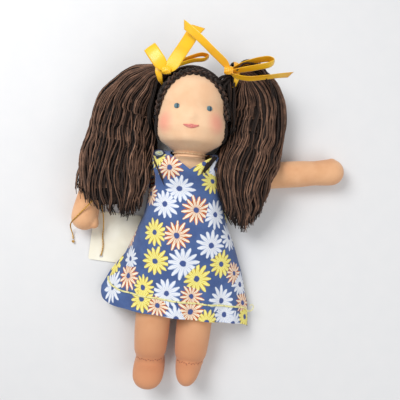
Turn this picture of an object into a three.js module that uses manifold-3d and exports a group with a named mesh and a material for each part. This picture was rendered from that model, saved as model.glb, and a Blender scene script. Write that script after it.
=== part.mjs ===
// A soft cloth rag doll, lying on its back: millimetres, +Z up off the floor, +Y towards the head.
// The origin is on the floor under the middle of the chest, where the back of the dress rests.
import * as THREE from 'three';
import { mergeVertices } from 'three/addons/utils/BufferGeometryUtils.js';
import Module from 'manifold-3d';

const wasm = await Module();
wasm.setup();

// Clearances and cloth
const gap = 0.3;
const skinThickness = 1.0;
const clothThickness = 0.8;
const stuffingGap = skinThickness + 2.5 * gap;
const flatCut = 0.5;

// Torso, from the hip seam to the neck
const hipSeamY = -62.2;
const seamGap = 0.9;
const seamThread = 1.2;
const torsoHalfWidth = 30;
const torsoHalfDepth = 19.6;
const torsoZ = 22;
const torsoX = 0.5;
const shoulderY = 20;
const torsoTopY = 37;
const torsoWedge = 1.5;
const hipZ = 20;

// Neck and head
const neckX = 1.3;
const neckZ = 30;
const neckRadius = 14.5;
const neckBaseY = torsoTopY + gap + 0.1;
const chinY = 42;
const headLength = 74.5;
const headHalfWidth = 32;
const headHalfDepth = 31.5;
const headTiltX = -2.2;
const stalkRadius = 9.6;
const stalkBottomY = 22;

// Face
const eyeY = 78.2;
const eyeLeftX = 15.7;
const eyeRightX = -12.0;
const eyeWidth = 5.4;
const eyeHeight = 4.8;
const mouthX = 1.5;
const mouthY = 61.3;
const mouthWidth = 14;
const threadRelief = 0.8;

// Hair
const capThickness = 2.6;
const headZ = headHalfDepth + gap + capThickness - flatCut;
const napeY = 51;
const capFrontZ = 42;
const archTopY = 110;
const archX = 1.3;
const archHalfWidth = 30.5;
const archSideY = 72;
const braidRadius = 3.3;
const tieRadius = 8.5;
const tieThread = 1.6;

// Arms
const shoulderPivotY = 22;
const shoulderPivotZ = 24;
const rootRadius = 3.2;
const shoulderThreadRadius = 2.5;
const shoulderThreadLength = 1.7;
const threadClearance = 0.7;
const shoulderPivotX = torsoHalfWidth + 2 * threadClearance + shoulderThreadLength + rootRadius;
const armRadius = 12.5;
const wristRadius = 11.6;
const armFlare = 18;
const thumbRadius = 4.6;

// Legs and feet
const legRadius = 16.2;
const legDepth = 15.6;
const ankleRadius = 13.8;
const legTopGap = 1.7;
const legTopHalfWidth = 13;
const legZ = 18.5;
const legEndY = -155;
const legTaper = 17;
const footLength = 43;
const footHalfWidth = 14.6;
const footHalfDepth = 10.5;
const footRise = THREE.MathUtils.degToRad(58);

// Dress
const dressTopY = 42;
const dressSeamZ = 5;
const dressShoulderZ = 22;
const dressBodiceHeight = 39;
const dressHemHeight = 34;
const dressRoundFrom = 22;
const foldHeight = 1.6;
const foldCount = 7;
const neckHoleRadius = 17;
const vBottomX = 3.1;
const vBottomY = 25.8;
const vHalfWidth = 19;
const armholeRadius = 14.5;
const armholeX = 27.5;
const hemAllowance = 15;
const hemThread = 0.9;
const frontHemThread = 1.3;

// Button on the right shoulder strap
const buttonRadius = 5.3;
const buttonThickness = 1.8;
const buttonX = -25.5;
const buttonY = 36.5;
const buttonTilt = THREE.MathUtils.degToRad(52);

// Satin ribbon
const ribbonWidth = 11.5;
const ribbonThickness = 0.5;

// Tag and its cord
const tagWidth = 46;
const tagHeight = 48;
const tagThickness = 0.6;
const tagLift = 0.4;
const tagTurn = THREE.MathUtils.degToRad(-3);
const tagCornerX = -89.4;
const tagCornerY = -65.6;
const tagHoleRadius = 1.6;
const tagHoleX = -77;
const tagHoleY = -61.6;
const cordDiameter = 1.4;
const knotRadius = 1.7;
const wristSlack = 0.35;
const leftArmZ = armRadius - flatCut;
const rightArmZ = armRadius + 2 * gap + wristSlack + cordDiameter;

const colours = {
  face: 0xf0c8a0,
  limb: 0xe2b183,
  stuffing: 0xf2ece0,
  hair: 0x2c1f1b,
  eye: 0x5f8791,
  mouth: 0xd8756b,
  ribbon: 0xf6bd22,
  dress: 0x48629e,
  thread: 0xefe9a6,
  button: 0x2a3350,
  cord: 0xb98f3c,
  card: 0xf3eedc,
};

// Small helpers
const UP = new THREE.Vector3(0, 0, 1);
const vec = (x, y, z) => new THREE.Vector3(x, y, z);
const lerp = THREE.MathUtils.lerp;
const clamp = THREE.MathUtils.clamp;
const smooth = (value) => THREE.MathUtils.smoothstep(value, 0, 1);

// Straight-line interpolation through pairs of [key, value], with rising keys.
function between(pairs, key) {
  let low = pairs[0];
  if (key <= low[0]) return low[1];
  for (const high of pairs.slice(1)) {
    if (key <= high[0]) return lerp(low[1], high[1], (key - low[0]) / (high[0] - low[0]));
    low = high;
  }
  return low[1];
}

function toSolid(geometry) {
  const plain = geometry.clone();
  plain.deleteAttribute('normal');
  plain.deleteAttribute('uv');
  const merged = mergeVertices(plain, 1e-4);
  return new wasm.Manifold(new wasm.Mesh({
    numProp: 3,
    vertProperties: new Float32Array(merged.attributes.position.array),
    triVerts: new Uint32Array(merged.index.array),
  }));
}

function toGeometry(solid) {
  const mesh = solid.getMesh();
  const geometry = new THREE.BufferGeometry();
  geometry.setAttribute('position', new THREE.BufferAttribute(new Float32Array(mesh.vertProperties), 3));
  geometry.setIndex(new THREE.BufferAttribute(new Uint32Array(mesh.triVerts), 1));
  return geometry;
}

// A closed body from rings of points, with each end closed by a fan; faces always point out.
function ringBody(rings) {
  const points = [];
  const triangles = [];
  const sides = rings[0].length;
  for (const ring of rings) points.push(...ring);
  for (let r = 0; r + 1 < rings.length; r += 1) {
    for (let s = 0; s < sides; s += 1) {
      const a = r * sides + s;
      const b = r * sides + ((s + 1) % sides);
      triangles.push(a, b, b + sides, a, b + sides, a + sides);
    }
  }
  for (const [ring, flip] of [[0, true], [rings.length - 1, false]]) {
    const middle = points.length;
    const centre = vec(0, 0, 0);
    for (const point of rings[ring]) centre.addScaledVector(point, 1 / sides);
    points.push(centre);
    for (let s = 0; s < sides; s += 1) {
      const a = ring * sides + s;
      const b = ring * sides + ((s + 1) % sides);
      triangles.push(...(flip ? [b, a, middle] : [a, b, middle]));
    }
  }
  return closedGeometry(points, triangles);
}

function closedGeometry(points, triangles) {
  let volume = 0;
  const cross = vec(0, 0, 0);
  for (let t = 0; t < triangles.length; t += 3) {
    const [a, b, c] = [points[triangles[t]], points[triangles[t + 1]], points[triangles[t + 2]]];
    volume += cross.crossVectors(b, c).dot(a);
  }
  const outward = volume > 0 ? triangles : triangles.toReversed();
  const geometry = new THREE.BufferGeometry().setFromPoints(points);
  geometry.setIndex(outward);
  return geometry;
}

// Rings round a route of stations { at, w, h }: w is the half width across, h the half height.
// The body grows on every side by the given amount.
function stationRings(stations, sides, grow = 0, along = null) {
  const last = stations.length - 1;
  return stations.map((station, i) => {
    const before = stations[Math.max(i - 1, 0)].at;
    const after = stations[Math.min(i + 1, last)].at;
    const run = along ? along.clone() : after.clone().sub(before).normalize();
    const across = vec(0, 0, 0).crossVectors(run, station.up ?? UP).normalize();
    const high = vec(0, 0, 0).crossVectors(across, run).normalize();
    const shift = i === 0 ? -grow : i === last ? grow : 0;
    const ring = [];
    for (let s = 0; s < sides; s += 1) {
      const angle = (2 * Math.PI * s) / sides;
      const point = station.at.clone().addScaledVector(run, shift);
      point.addScaledVector(across, Math.cos(angle) * (station.w + grow));
      point.addScaledVector(high, Math.sin(angle) * (station.h + grow));
      ring.push(point);
    }
    return ring;
  });
}

const stationBody = (stations, sides, grow, along) => toSolid(
  ringBody(stationRings(stations, sides, grow, along)),
);

// A limb's stations at distances along its route, with the radius from a formula.
function limbStations(route, distances, radii) {
  const length = route.getLength();
  return distances.map((distance) => {
    const share = clamp(distance / length, 0, 1);
    const at = route.getPointAt(share);
    at.addScaledVector(route.getTangentAt(share), distance - share * length);
    return { at, ...radii(distance) };
  });
}

// An even radius that closes to a round end.
const roundEnd = (distance, length, radius) => {
  const into = clamp((distance - (length - radius)) / radius, 0, 1);
  return Math.sqrt(Math.max(1 - into * into, 0.0004));
};

// A thin sheet with thickness: surface(u, v) is its inner face, and it thickens along the normal.
function sheetSolid(surface, columns, rows, thickness, lowOffset = 0) {
  const points = [];
  const triangles = [];
  const step = 1e-3;
  for (const offset of [lowOffset, lowOffset + thickness]) {
    for (const v of rows) {
      for (const u of columns) {
        const point = surface(u, v);
        const du = surface(Math.min(u + step, 1), v).sub(surface(Math.max(u - step, 0), v));
        const dv = surface(u, Math.min(v + step, 1)).sub(surface(u, Math.max(v - step, 0)));
        const normal = vec(0, 0, 0).crossVectors(du, dv).normalize();
        points.push(point.addScaledVector(normal, offset));
      }
    }
  }
  const across = columns.length;
  const layer = across * rows.length;
  const quad = (a, b, c, d) => triangles.push(a, b, c, a, c, d);
  for (let r = 0; r + 1 < rows.length; r += 1) {
    for (let c = 0; c + 1 < across; c += 1) {
      const a = r * across + c;
      quad(a + layer, a + 1 + layer, a + 1 + across + layer, a + across + layer);
      quad(a, a + across, a + 1 + across, a + 1);
    }
  }
  for (let c = 0; c + 1 < across; c += 1) {
    const top = (rows.length - 1) * across + c;
    quad(c, c + 1, c + 1 + layer, c + layer);
    quad(top + 1, top, top + layer, top + 1 + layer);
  }
  for (let r = 0; r + 1 < rows.length; r += 1) {
    const left = r * across;
    const right = left + across - 1;
    quad(left + across, left, left + layer, left + across + layer);
    quad(right, right + across, right + across + layer, right + layer);
  }
  return toSolid(closedGeometry(points, triangles));
}

const spread = (count, ease = (t) => t) => Array.from({ length: count + 1 }, (_, i) => ease(i / count));

function boxSolid(from, to) {
  const size = to.clone().sub(from);
  const geometry = new THREE.BoxGeometry(size.x, size.y, size.z);
  const middle = from.clone().add(to).multiplyScalar(0.5);
  geometry.translate(middle.x, middle.y, middle.z);
  return toSolid(geometry);
}

const farOut = 400;
const farBelow = boxSolid(vec(-farOut, -farOut, -farOut), vec(farOut, farOut, 0));
const cutFlat = (solid) => solid.subtract(farBelow);

function cylinderSolid(from, to, radius, sides = 32) {
  const run = to.clone().sub(from);
  const geometry = new THREE.CylinderGeometry(radius, radius, run.length(), sides);
  geometry.applyQuaternion(new THREE.Quaternion().setFromUnitVectors(vec(0, 1, 0), run.clone().normalize()));
  const middle = from.clone().add(to).multiplyScalar(0.5);
  geometry.translate(middle.x, middle.y, middle.z);
  return toSolid(geometry);
}

function roundShape(radius, sides) {
  const shape = new THREE.Shape();
  for (let s = 0; s < sides; s += 1) {
    const angle = (2 * Math.PI * s) / sides;
    const [x, y] = [Math.cos(angle) * radius, Math.sin(angle) * radius];
    if (s === 0) shape.moveTo(x, y);
    else shape.lineTo(x, y);
  }
  shape.closePath();
  return shape;
}

// A round cord or thread along hand-chosen points.
function cordGeometry(points, diameter, steps, sides = 6) {
  const route = new THREE.CatmullRomCurve3(points);
  const options = { steps, bevelEnabled: false, extrudePath: route };
  return new THREE.ExtrudeGeometry(roundShape(diameter / 2, sides), options);
}

// A flat ribbon along points; broad gives the direction of its width.
function ribbonSolid({ points, broad, width = ribbonWidth }, grow = 0) {
  const route = new THREE.CatmullRomCurve3(points);
  const steps = 2 * (points.length - 1);
  const rings = [];
  for (let i = 0; i <= steps; i += 1) {
    const at = route.getPoint(i / steps);
    const run = route.getTangent(i / steps);
    const across = broad.clone();
    across.addScaledVector(run, -across.dot(run)).normalize();
    const face = vec(0, 0, 0).crossVectors(run, across).multiplyScalar(ribbonThickness / 2 + grow);
    across.multiplyScalar(width / 2 + grow);
    rings.push([
      at.clone().add(across).add(face),
      at.clone().sub(across).add(face),
      at.clone().sub(across).sub(face),
      at.clone().add(across).sub(face),
    ]);
  }
  return toSolid(ringBody(rings));
}

const part = new THREE.Group();

function addPiece(name, shape, colour, { roughness = 0.9, metalness = 0 } = {}) {
  const geometry = shape instanceof wasm.Manifold ? toGeometry(shape) : shape;
  geometry.computeVertexNormals();
  const material = new THREE.MeshStandardMaterial({ color: colour, roughness, metalness });
  const mesh = new THREE.Mesh(geometry, material);
  mesh.name = name;
  part.add(mesh);
}

// Torso: a sewn bag, widest at shoulder and hip, that thins to the hip seam
const torsoBottomY = hipSeamY + seamGap;
const alongY = vec(0, 1, 0);
const torsoStation = (y, width, depth, z) => ({ at: vec(torsoX, y, z), w: width, h: depth });
const torsoStations = [
  torsoStation(torsoBottomY, torsoHalfWidth - 6, torsoWedge, hipZ),
  torsoStation(torsoBottomY + 9, torsoHalfWidth - 2.5, torsoWedge + 8.2, hipZ),
  torsoStation(torsoBottomY + 20, torsoHalfWidth - 0.4, torsoHalfDepth - 0.8, torsoZ - 0.4),
  torsoStation(-22, torsoHalfWidth - 1, torsoHalfDepth, torsoZ),
  torsoStation(0, torsoHalfWidth - 1.6, torsoHalfDepth, torsoZ),
  torsoStation(shoulderY, torsoHalfWidth, torsoHalfDepth, torsoZ),
  torsoStation(shoulderY + 9, torsoHalfWidth - 4, torsoHalfDepth - 1.4, torsoZ + 2),
  torsoStation(torsoTopY - 3, neckRadius + 5, neckRadius + 1.6, torsoZ + 4.5),
  torsoStation(torsoTopY, neckRadius + 0.8, neckRadius + 0.8, neckZ),
];
const torsoSides = 16;
const torsoBody = (grow, sides = torsoSides) => stationBody(torsoStations, sides, grow, alongY);
const neckThrough = (radius, fromY) => cylinderSolid(
  vec(neckX, fromY, neckZ),
  vec(neckX, dressTopY + 6, neckZ),
  radius,
  20,
);

function buildTorso() {
  const neckMouth = neckThrough(neckRadius - skinThickness, torsoTopY - 6);
  addPiece('torso_skin', torsoBody(0).subtract(torsoBody(-skinThickness)).subtract(neckMouth), colours.limb);
  const socket = neckThrough(stalkRadius + gap, stalkBottomY - gap);
  const filling = torsoBody(-stuffingGap, torsoSides / 2).subtract(socket);
  addPiece('torso_stuffing', filling, colours.stuffing, { roughness: 1 });
}

// Head: a round stuffed ball on a short neck, full at the cheeks, drawn in along the eye line
const headShare = (share) => chinY + share * headLength;
const headStation = (y, width, depth, z) => {
  const lean = headTiltX * smooth((y - chinY) / headLength);
  return { at: vec(neckX + lean, y, z), w: width, h: depth };
};
const cheek = headHalfWidth;
const deep = headHalfDepth;
const headStations = [
  headStation(neckBaseY, neckRadius, neckRadius, neckZ),
  headStation(chinY - 1, neckRadius - 0.6, neckRadius - 0.6, neckZ),
  headStation(headShare(0.045), cheek - 12.5, deep - 12.5, neckZ + 2),
  headStation(headShare(0.11), cheek - 5.2, deep - 5.2, neckZ + 4.6),
  headStation(headShare(0.19), cheek - 1.2, deep - 1.2, headZ - 0.6),
  headStation(headShare(0.28), cheek, deep, headZ),
  headStation(headShare(0.4), cheek - 0.9, deep - 0.4, headZ),
  headStation(headShare(0.5), cheek - 1.5, deep - 0.7, headZ),
  headStation(headShare(0.62), cheek - 1.4, deep - 1.2, headZ),
  headStation(headShare(0.76), cheek - 4.2, deep - 4.2, headZ),
  headStation(headShare(0.87), cheek - 10.6, deep - 10.6, headZ),
  headStation(headShare(0.95), cheek - 18.8, deep - 18.8, headZ),
  headStation(headShare(0.99), cheek - 26.6, deep - 26.4, headZ),
];
const headSides = 16;
const headBody = (grow) => stationBody(headStations, headSides, grow, alongY);
const ballStations = headStations.slice(2);
const headBall = (grow, sides = headSides) => stationBody(ballStations, sides, grow, alongY);

// Height of the face above the floor at a place on the front of the head.
function faceZ(x, y) {
  const level = (value) => between(headStations.map((s) => [s.at.y, value(s)]), y);
  const across = clamp((x - level((s) => s.at.x)) / level((s) => s.w), -1, 1);
  return level((s) => s.at.z) + level((s) => s.h) * Math.sqrt(1 - across * across);
}

function buildHead() {
  const inside = headBody(-skinThickness).add(neckThroughHead(neckRadius - skinThickness - 0.6));
  addPiece('head_skin', headBody(0).subtract(inside), colours.face, { roughness: 0.8 });
  const stalkTop = vec(neckX, chinY + 8, neckZ);
  const stalk = cylinderSolid(vec(neckX, stalkBottomY, neckZ), stalkTop, stalkRadius, 14);
  const core = headBall(-stuffingGap, headSides / 2).add(stalk);
  addPiece('head_core', core, colours.stuffing, { roughness: 1 });
  const tie = new THREE.TorusGeometry(neckRadius + gap + 0.6, 0.6, 5, 20);
  tie.rotateX(Math.PI / 2);
  tie.translate(neckX, chinY - 1.6, neckZ);
  addPiece('neck_tie', toSolid(tie).subtract(headBody(gap)), colours.thread);
}

function neckThroughHead(radius) {
  return cylinderSolid(vec(neckX, neckBaseY - 3, neckZ), vec(neckX, chinY + 3, neckZ), radius, 26);
}

// Embroidered features: low mounds of thread that lie on the skin
function faceMound(x, y, width, height) {
  const mound = new THREE.SphereGeometry(1, 10, 6);
  mound.scale(width / 2, height / 2, threadRelief * 3);
  mound.translate(x, y, faceZ(x, y));
  return toSolid(mound).subtract(headBody(gap)).intersect(headBody(gap + threadRelief));
}

function buildFace() {
  addPiece('eye_left', faceMound(eyeLeftX, eyeY, eyeWidth, eyeHeight), colours.eye, { roughness: 0.6 });
  addPiece('eye_right', faceMound(eyeRightX, eyeY, eyeWidth, eyeHeight), colours.eye, { roughness: 0.6 });
  addPiece('mouth', faceMound(mouthX, mouthY, mouthWidth, eyeHeight), colours.mouth, { roughness: 0.7 });
}

// Hairline: an arch over the face, from cheek to cheek
const archPoint = (angle) => {
  const x = archX - Math.cos(angle) * archHalfWidth;
  const y = archSideY + Math.sin(angle) * (archTopY - archSideY);
  return [x, y];
};

const hairlineRoute = spread(12, (t) => {
  const [x, y] = archPoint(Math.PI * t);
  return vec(x, y, Math.max(faceZ(x, y), capFrontZ) + braidRadius * 0.75);
});

const hairlineBraid = (grow) => {
  const tube = toSolid(cordGeometry(hairlineRoute, 2 * (braidRadius + grow), 14, 8));
  return tube.subtract(headBall(gap - grow));
};

// Wig cap: a knitted shell over the back and crown, open over the face
const capOuter = (grow = 0) => headBall(gap + capThickness + grow);

function buildHair() {
  const opening = new THREE.Shape();
  const [startX, startY] = archPoint(0);
  opening.moveTo(startX - 20, napeY - 40);
  opening.lineTo(startX - 20, startY);
  for (const t of spread(14)) opening.lineTo(...archPoint(Math.PI * t));
  const [endX, endY] = archPoint(Math.PI);
  opening.lineTo(endX + 20, endY);
  opening.lineTo(endX + 20, napeY - 40);
  opening.closePath();
  const faceHole = new THREE.ExtrudeGeometry(opening, { depth: 80, bevelEnabled: false });
  faceHole.translate(0, 0, capFrontZ);
  const belowNape = boxSolid(vec(-90, 0, -20), vec(90, napeY, 120));
  let cap = capOuter().subtract(headBall(gap)).subtract(toSolid(faceHole)).subtract(belowNape);
  cap = largest(cutFlat(cap.subtract(hairlineBraid(gap))));
  addPiece('hair_cap', cap, colours.hair, { roughness: 1 });
  addPiece('hairline_braid', hairlineBraid(0), colours.hair, { roughness: 1 });
}

// Ponytails: two big loose hanks that fall from their ties over the arms and the dress
const hank = (x, y, z, w, h) => ({ at: vec(x, y, z), w, h });
const ponytailRight = [
  hank(-25, 110.5, 44, 6.5, 6.5),
  hank(-34, 109, 42, 8.5, 9),
  hank(-43.5, 103, 34, 18, 15),
  hank(-54.5, 92, 24, 23.5, 20),
  hank(-62, 78, 18, 29, 19),
  hank(-64, 60, 17.5, 31.5, 18.5),
  hank(-65, 42, 23, 32, 18),
  hank(-66, 22, 34, 32.5, 13),
  hank(-67, 5, 35, 31, 9.5),
  hank(-63, -9, 31, 21.5, 7),
  hank(-59, -21, 23, 13, 4),
];
const ponytailLeft = [
  hank(31, 112, 44, 6.5, 6.5),
  hank(40, 112.5, 42, 9, 9),
  hank(48, 107.5, 34, 20, 15),
  hank(56.5, 96, 24, 25.5, 20),
  hank(61, 79, 18.5, 27.5, 19),
  hank(60, 62, 18, 28, 18.5),
  hank(56, 44, 24, 28, 18),
  hank(52, 26, 35, 26, 14),
  hank(51, 8, 33, 22, 12),
  hank(53, -8, 25, 17, 9),
  hank(56, -22, 17, 10, 5),
];
const hankSides = 10;
const tieAlong = (stations) => stations[1].at.clone().sub(stations[0].at).normalize();

function tieRing(stations, grow) {
  const ring = new THREE.TorusGeometry(tieRadius + tieThread, tieThread + grow, 6, 16);
  ring.applyQuaternion(new THREE.Quaternion().setFromUnitVectors(UP, tieAlong(stations)));
  ring.translate(...stations[0].at.clone().lerp(stations[1].at, 0.4).toArray());
  return toSolid(ring);
}

function buildTie(name, stations) {
  const around = capOuter(gap).add(stationBody(stations, hankSides, gap)).add(hairlineBraid(gap));
  addPiece(name, largest(tieRing(stations, 0).subtract(around)), colours.hair, { roughness: 0.9 });
}

// The largest body of a cut that leaves crumbs.
function largest(solid) {
  const bodies = solid.decompose();
  return bodies.reduce((best, body) => (body.volume() > best.volume() ? body : best));
}

// Arms: soft tubes that swell from a small gathered root to a mitten hand
const leftArmRoute = new THREE.CatmullRomCurve3([
  vec(torsoX + shoulderPivotX, shoulderPivotY, shoulderPivotZ),
  vec(62, 26, leftArmZ + 4),
  vec(82.5, 29, leftArmZ),
  vec(110, 32.6, leftArmZ),
  vec(132, 35.6, leftArmZ),
  vec(147, 38.4, leftArmZ),
]);
const rightArmRoute = new THREE.CatmullRomCurve3([
  vec(torsoX - shoulderPivotX, shoulderPivotY, shoulderPivotZ),
  vec(-53, 23.5, rightArmZ + 5),
  vec(-69, 20.5, rightArmZ + 1),
  vec(-82.5, 10, rightArmZ),
  vec(-89.5, -6, rightArmZ),
  vec(-92.5, -22, rightArmZ),
  vec(-92.6, -37, rightArmZ),
]);

const limbSides = 10;

function armBody(route, grow, sides = limbSides) {
  const length = route.getLength();
  const radii = (distance) => {
    if (distance < 0) {
      const r = Math.sqrt(Math.max(rootRadius ** 2 - distance ** 2, 0.01));
      return { w: r, h: r };
    }
    const full = lerp(rootRadius, armRadius, smooth(distance / armFlare));
    const wrist = (armRadius - wristRadius) * Math.exp(-(((distance - length + 28) / 9) ** 2));
    const r = (full - wrist) * roundEnd(distance, length, armRadius);
    return { w: r, h: r };
  };
  const shares = [0.32, 0.5, 0.66, 0.76];
  const closing = [12, 7, 3.5, 1.2, 0.1];
  const distances = [
    -rootRadius * 0.98, -rootRadius * 0.5, 2, 6, 11, armFlare,
    ...shares.map((share) => share * length),
    ...closing.map((left) => length - left),
  ];
  return stationBody(limbStations(route, distances, radii), sides, grow);
}

const thumbs = {
  left: [vec(128, 41, leftArmZ + 1), vec(134, 44.2, leftArmZ + 1), vec(139, 45.6, leftArmZ + 1)],
  right: [vec(-86, -20, rightArmZ + 2), vec(-83.6, -28, rightArmZ + 2), vec(-83.2, -34.5, rightArmZ + 2)],
};

function thumbBody(points, grow) {
  const route = new THREE.CatmullRomCurve3(points);
  const length = route.getLength();
  const radii = (distance) => {
    const r = thumbRadius * roundEnd(distance, length, thumbRadius);
    return { w: r, h: r };
  };
  const distances = [0, 0.5, 0.8, 0.95, 1].map((share) => share * length);
  return stationBody(limbStations(route, distances, radii), 8, grow);
}

const rightArmSolid = (grow) => armBody(rightArmRoute, grow).add(thumbBody(thumbs.right, grow));
const leftArmSolid = (grow) => armBody(leftArmRoute, grow).add(thumbBody(thumbs.left, grow));

function buildArm(side, solid, route, sign) {
  const rootX = torsoX + sign * (shoulderPivotX - 2.2);
  const gather = boxSolid(
    vec(Math.min(torsoX, rootX), shoulderPivotY - 20, shoulderPivotZ - 20),
    vec(Math.max(torsoX, rootX), shoulderPivotY + 20, shoulderPivotZ + 20),
  );
  const mouth = cylinderSolid(
    vec(torsoX + sign * (shoulderPivotX - rootRadius - 1), shoulderPivotY, shoulderPivotZ),
    vec(torsoX + sign * (shoulderPivotX + 1), shoulderPivotY, shoulderPivotZ),
    rootRadius - skinThickness,
    14,
  );
  const inside = solid(-skinThickness).subtract(floorBand(skinThickness));
  const skin = cutFlat(solid(0).subtract(inside).subtract(mouth));
  addPiece(`arm_${side}_skin`, skin, colours.limb);
  const core = armBody(route, -stuffingGap, limbSides / 2);
  const fill = core.subtract(gather).subtract(floorBand(skinThickness + gap));
  addPiece(`arm_${side}_stuffing`, fill, colours.stuffing, { roughness: 1 });
  const inner = torsoX + sign * (torsoHalfWidth + threadClearance);
  const outer = inner + sign * shoulderThreadLength;
  const thread = cylinderSolid(
    vec(inner, shoulderPivotY, shoulderPivotZ),
    vec(outer, shoulderPivotY, shoulderPivotZ),
    shoulderThreadRadius,
    16,
  );
  addPiece(`shoulder_${side}_stitch`, thread, colours.thread);
}

// Legs: stuffed tubes from the hip seam to the ankle, with feet that turn up
const legTopY = hipSeamY - legTopGap;
const legs = {
  left: { hip: 19.6, ankle: 16.2, footX: 17.4, toeX: 13.6, toeY: -172.2, taper: 0.66 },
  right: { hip: -20.2, ankle: -21.4, footX: -21.2, toeX: -21, toeY: -177.7, taper: 1 },
};

function legBody({ hip, ankle }, grow, sides = limbSides) {
  const run = legTopY - legEndY;
  const station = (down, width, depth, z) => {
    const at = vec(lerp(hip, ankle, down / run), legTopY - down, z);
    return { at, w: width, h: depth };
  };
  const stations = [
    station(0, legTopHalfWidth - 9, torsoWedge - 0.5, hipZ),
    station(2.3, legTopHalfWidth - 4, torsoWedge + 1, hipZ - 0.1),
    station(5, legTopHalfWidth, torsoWedge + 3.6, hipZ - 0.4),
    station(10, legRadius - 1, torsoWedge + 8.2, hipZ - 0.9),
    station(legTaper + 1, legRadius, legDepth - 0.4, legZ),
    station(36, legRadius + 0.3, legDepth, legZ),
    station(58, legRadius, legDepth - 0.2, legZ - 0.4),
    station(76, legRadius - 1, legDepth - 1.2, legZ - 1.6),
    station(run - 6, ankleRadius + 0.2, ankleRadius - 0.6, legZ - 3.6),
    station(run - 1.5, ankleRadius - 1.4, ankleRadius - 2, legZ - 4),
    station(run, ankleRadius - 4, ankleRadius - 4.6, legZ - 4),
  ];
  return stationBody(stations, sides, grow, alongY.clone().negate());
}

function footBody({ footX, toeX, toeY, taper }, grow, sides = limbSides) {
  const aim = vec(toeX - footX, -Math.cos(footRise) * footLength, Math.sin(footRise) * footLength);
  aim.setLength(footLength);
  const heelY = toeY + footHalfDepth * Math.sin(footRise) + Math.cos(footRise) * (footLength - 6);
  const heel = vec(footX, heelY, -1);
  const shares = [
    [0, 0.34], [0.06, 0.72], [0.2, 0.95], [0.5, 1], [0.72, 0.95], [0.88, 0.76], [0.97, 0.44], [1, 0.16],
  ];
  const upright = vec(0, Math.sin(footRise), Math.cos(footRise));
  const stations = shares.map(([share, size]) => ({
    at: heel.clone().addScaledVector(aim, share),
    w: footHalfWidth * size * lerp(1, taper, share),
    h: footHalfDepth * (share < 0.3 ? size * 1.12 : size),
    up: upright,
  }));
  return stationBody(stations, sides, grow);
}

function buildLeg(side) {
  const size = legs[side];
  const topMouth = boxSolid(
    vec(size.hip - 4, legTopY - 6, hipZ - torsoWedge + skinThickness),
    vec(size.hip + 4, legTopY + 6, hipZ + torsoWedge - skinThickness),
  );
  const leg = (grow) => legBody(size, grow);
  addPiece(`leg_${side}_skin`, leg(0).subtract(leg(-skinThickness)).subtract(topMouth), colours.limb);
  const legFill = legBody(size, -stuffingGap, limbSides / 2);
  addPiece(`leg_${side}_stuffing`, legFill, colours.stuffing, { roughness: 1 });
  const foot = (grow) => footBody(size, grow);
  const ankleHole = leg(gap);
  const footSkin = cutFlat(foot(0)).subtract(footInside(size)).subtract(ankleHole);
  addPiece(`foot_${side}_skin`, largest(footSkin), colours.limb);
  const footFill = footBody(size, -stuffingGap, limbSides / 2)
    .subtract(leg(stuffingGap))
    .subtract(floorBand(stuffingGap));
  addPiece(`foot_${side}_stuffing`, largest(footFill), colours.stuffing, { roughness: 1 });
  buildAnkleStitch(side, size);
}

// The room inside a foot's skin, kept clear of the flat heel.
const footInside = (size) => footBody(size, -skinThickness).subtract(floorBand(skinThickness));
const floorBand = (height) => boxSolid(vec(-farOut, -farOut, -farOut), vec(farOut, farOut, height));

// Ankle stitches: one bold thread line across the front of the ankle, where foot and leg meet
function buildAnkleStitch(side, size) {
  const stitchY = legEndY + 5;
  const points = spread(10, (t) => {
    const angle = lerp(0.16, 0.84, t) * Math.PI;
    const reach = ankleRadius + gap + 0.9;
    const wave = Math.sin(t * Math.PI * 5) * 0.5;
    return vec(size.ankle - Math.cos(angle) * reach, stitchY + wave, legZ - 3.7 + Math.sin(angle) * reach);
  });
  const thread = toSolid(cordGeometry(points, 1.2, 14, 5));
  const clear = thread.subtract(legBody(size, gap)).subtract(footBody(size, gap));
  addPiece(`ankle_${side}_stitch`, largest(clear), colours.mouth);
}

// Hip seam: the thread that closes the torso over the tops of the legs
function buildHipSeam() {
  const reach = torsoHalfWidth - 7;
  const points = spread(8, (t) => {
    const wave = Math.sin(t * Math.PI * 8) * 0.5;
    return vec(lerp(-reach, reach, t), hipSeamY - 0.3, hipZ + wave);
  });
  addPiece('hip_seam_stitch', toSolid(cordGeometry(points, seamThread, 20, 5)), colours.thread);
}

// Dress: an A-line front and back, joined at the sides and shoulders
const leftEdge = [
  [-117, 68.3], [-96.5, 66.6], [-65, 58], [-40, 48.7], [-24, 41.5], [-5, 37], [20, 34], [42, 31],
];
const rightEdge = [
  [-89, 73.3], [-73, 65.4], [-56, 52.6], [-41, 46.6], [-17, 37.5], [5, 34.4], [20, 34], [42, 31],
];
const hemLine = new THREE.SplineCurve([
  new THREE.Vector2(0, -89), new THREE.Vector2(0.06, -96.5), new THREE.Vector2(0.2, -103),
  new THREE.Vector2(0.5, -106.5), new THREE.Vector2(0.75, -110), new THREE.Vector2(1, -117),
]);
const hemY = (u) => between(hemLine.getPoints(24).map((point) => [point.x, point.y]), u);
const fullness = (y) => {
  const share = clamp((y - dressRoundFrom) / (dressTopY - dressRoundFrom), 0, 1);
  return Math.sqrt(1 - share ** 2);
};
const seamHeight = (y) => lerp(dressSeamZ, dressShoulderZ, smooth((y - 4) / (dressTopY - 4)));

function dressPlan(u, v) {
  const theta = Math.PI * (1 - u);
  const rightY = lerp(hemY(0), dressTopY, v);
  const leftY = lerp(hemY(1), dressTopY, v);
  const cosine = Math.cos(theta);
  const x = cosine < 0 ? cosine * between(rightEdge, rightY) : cosine * between(leftEdge, leftY);
  return { x, y: lerp(hemY(u), dressTopY, v), theta, cosine };
}

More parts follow.
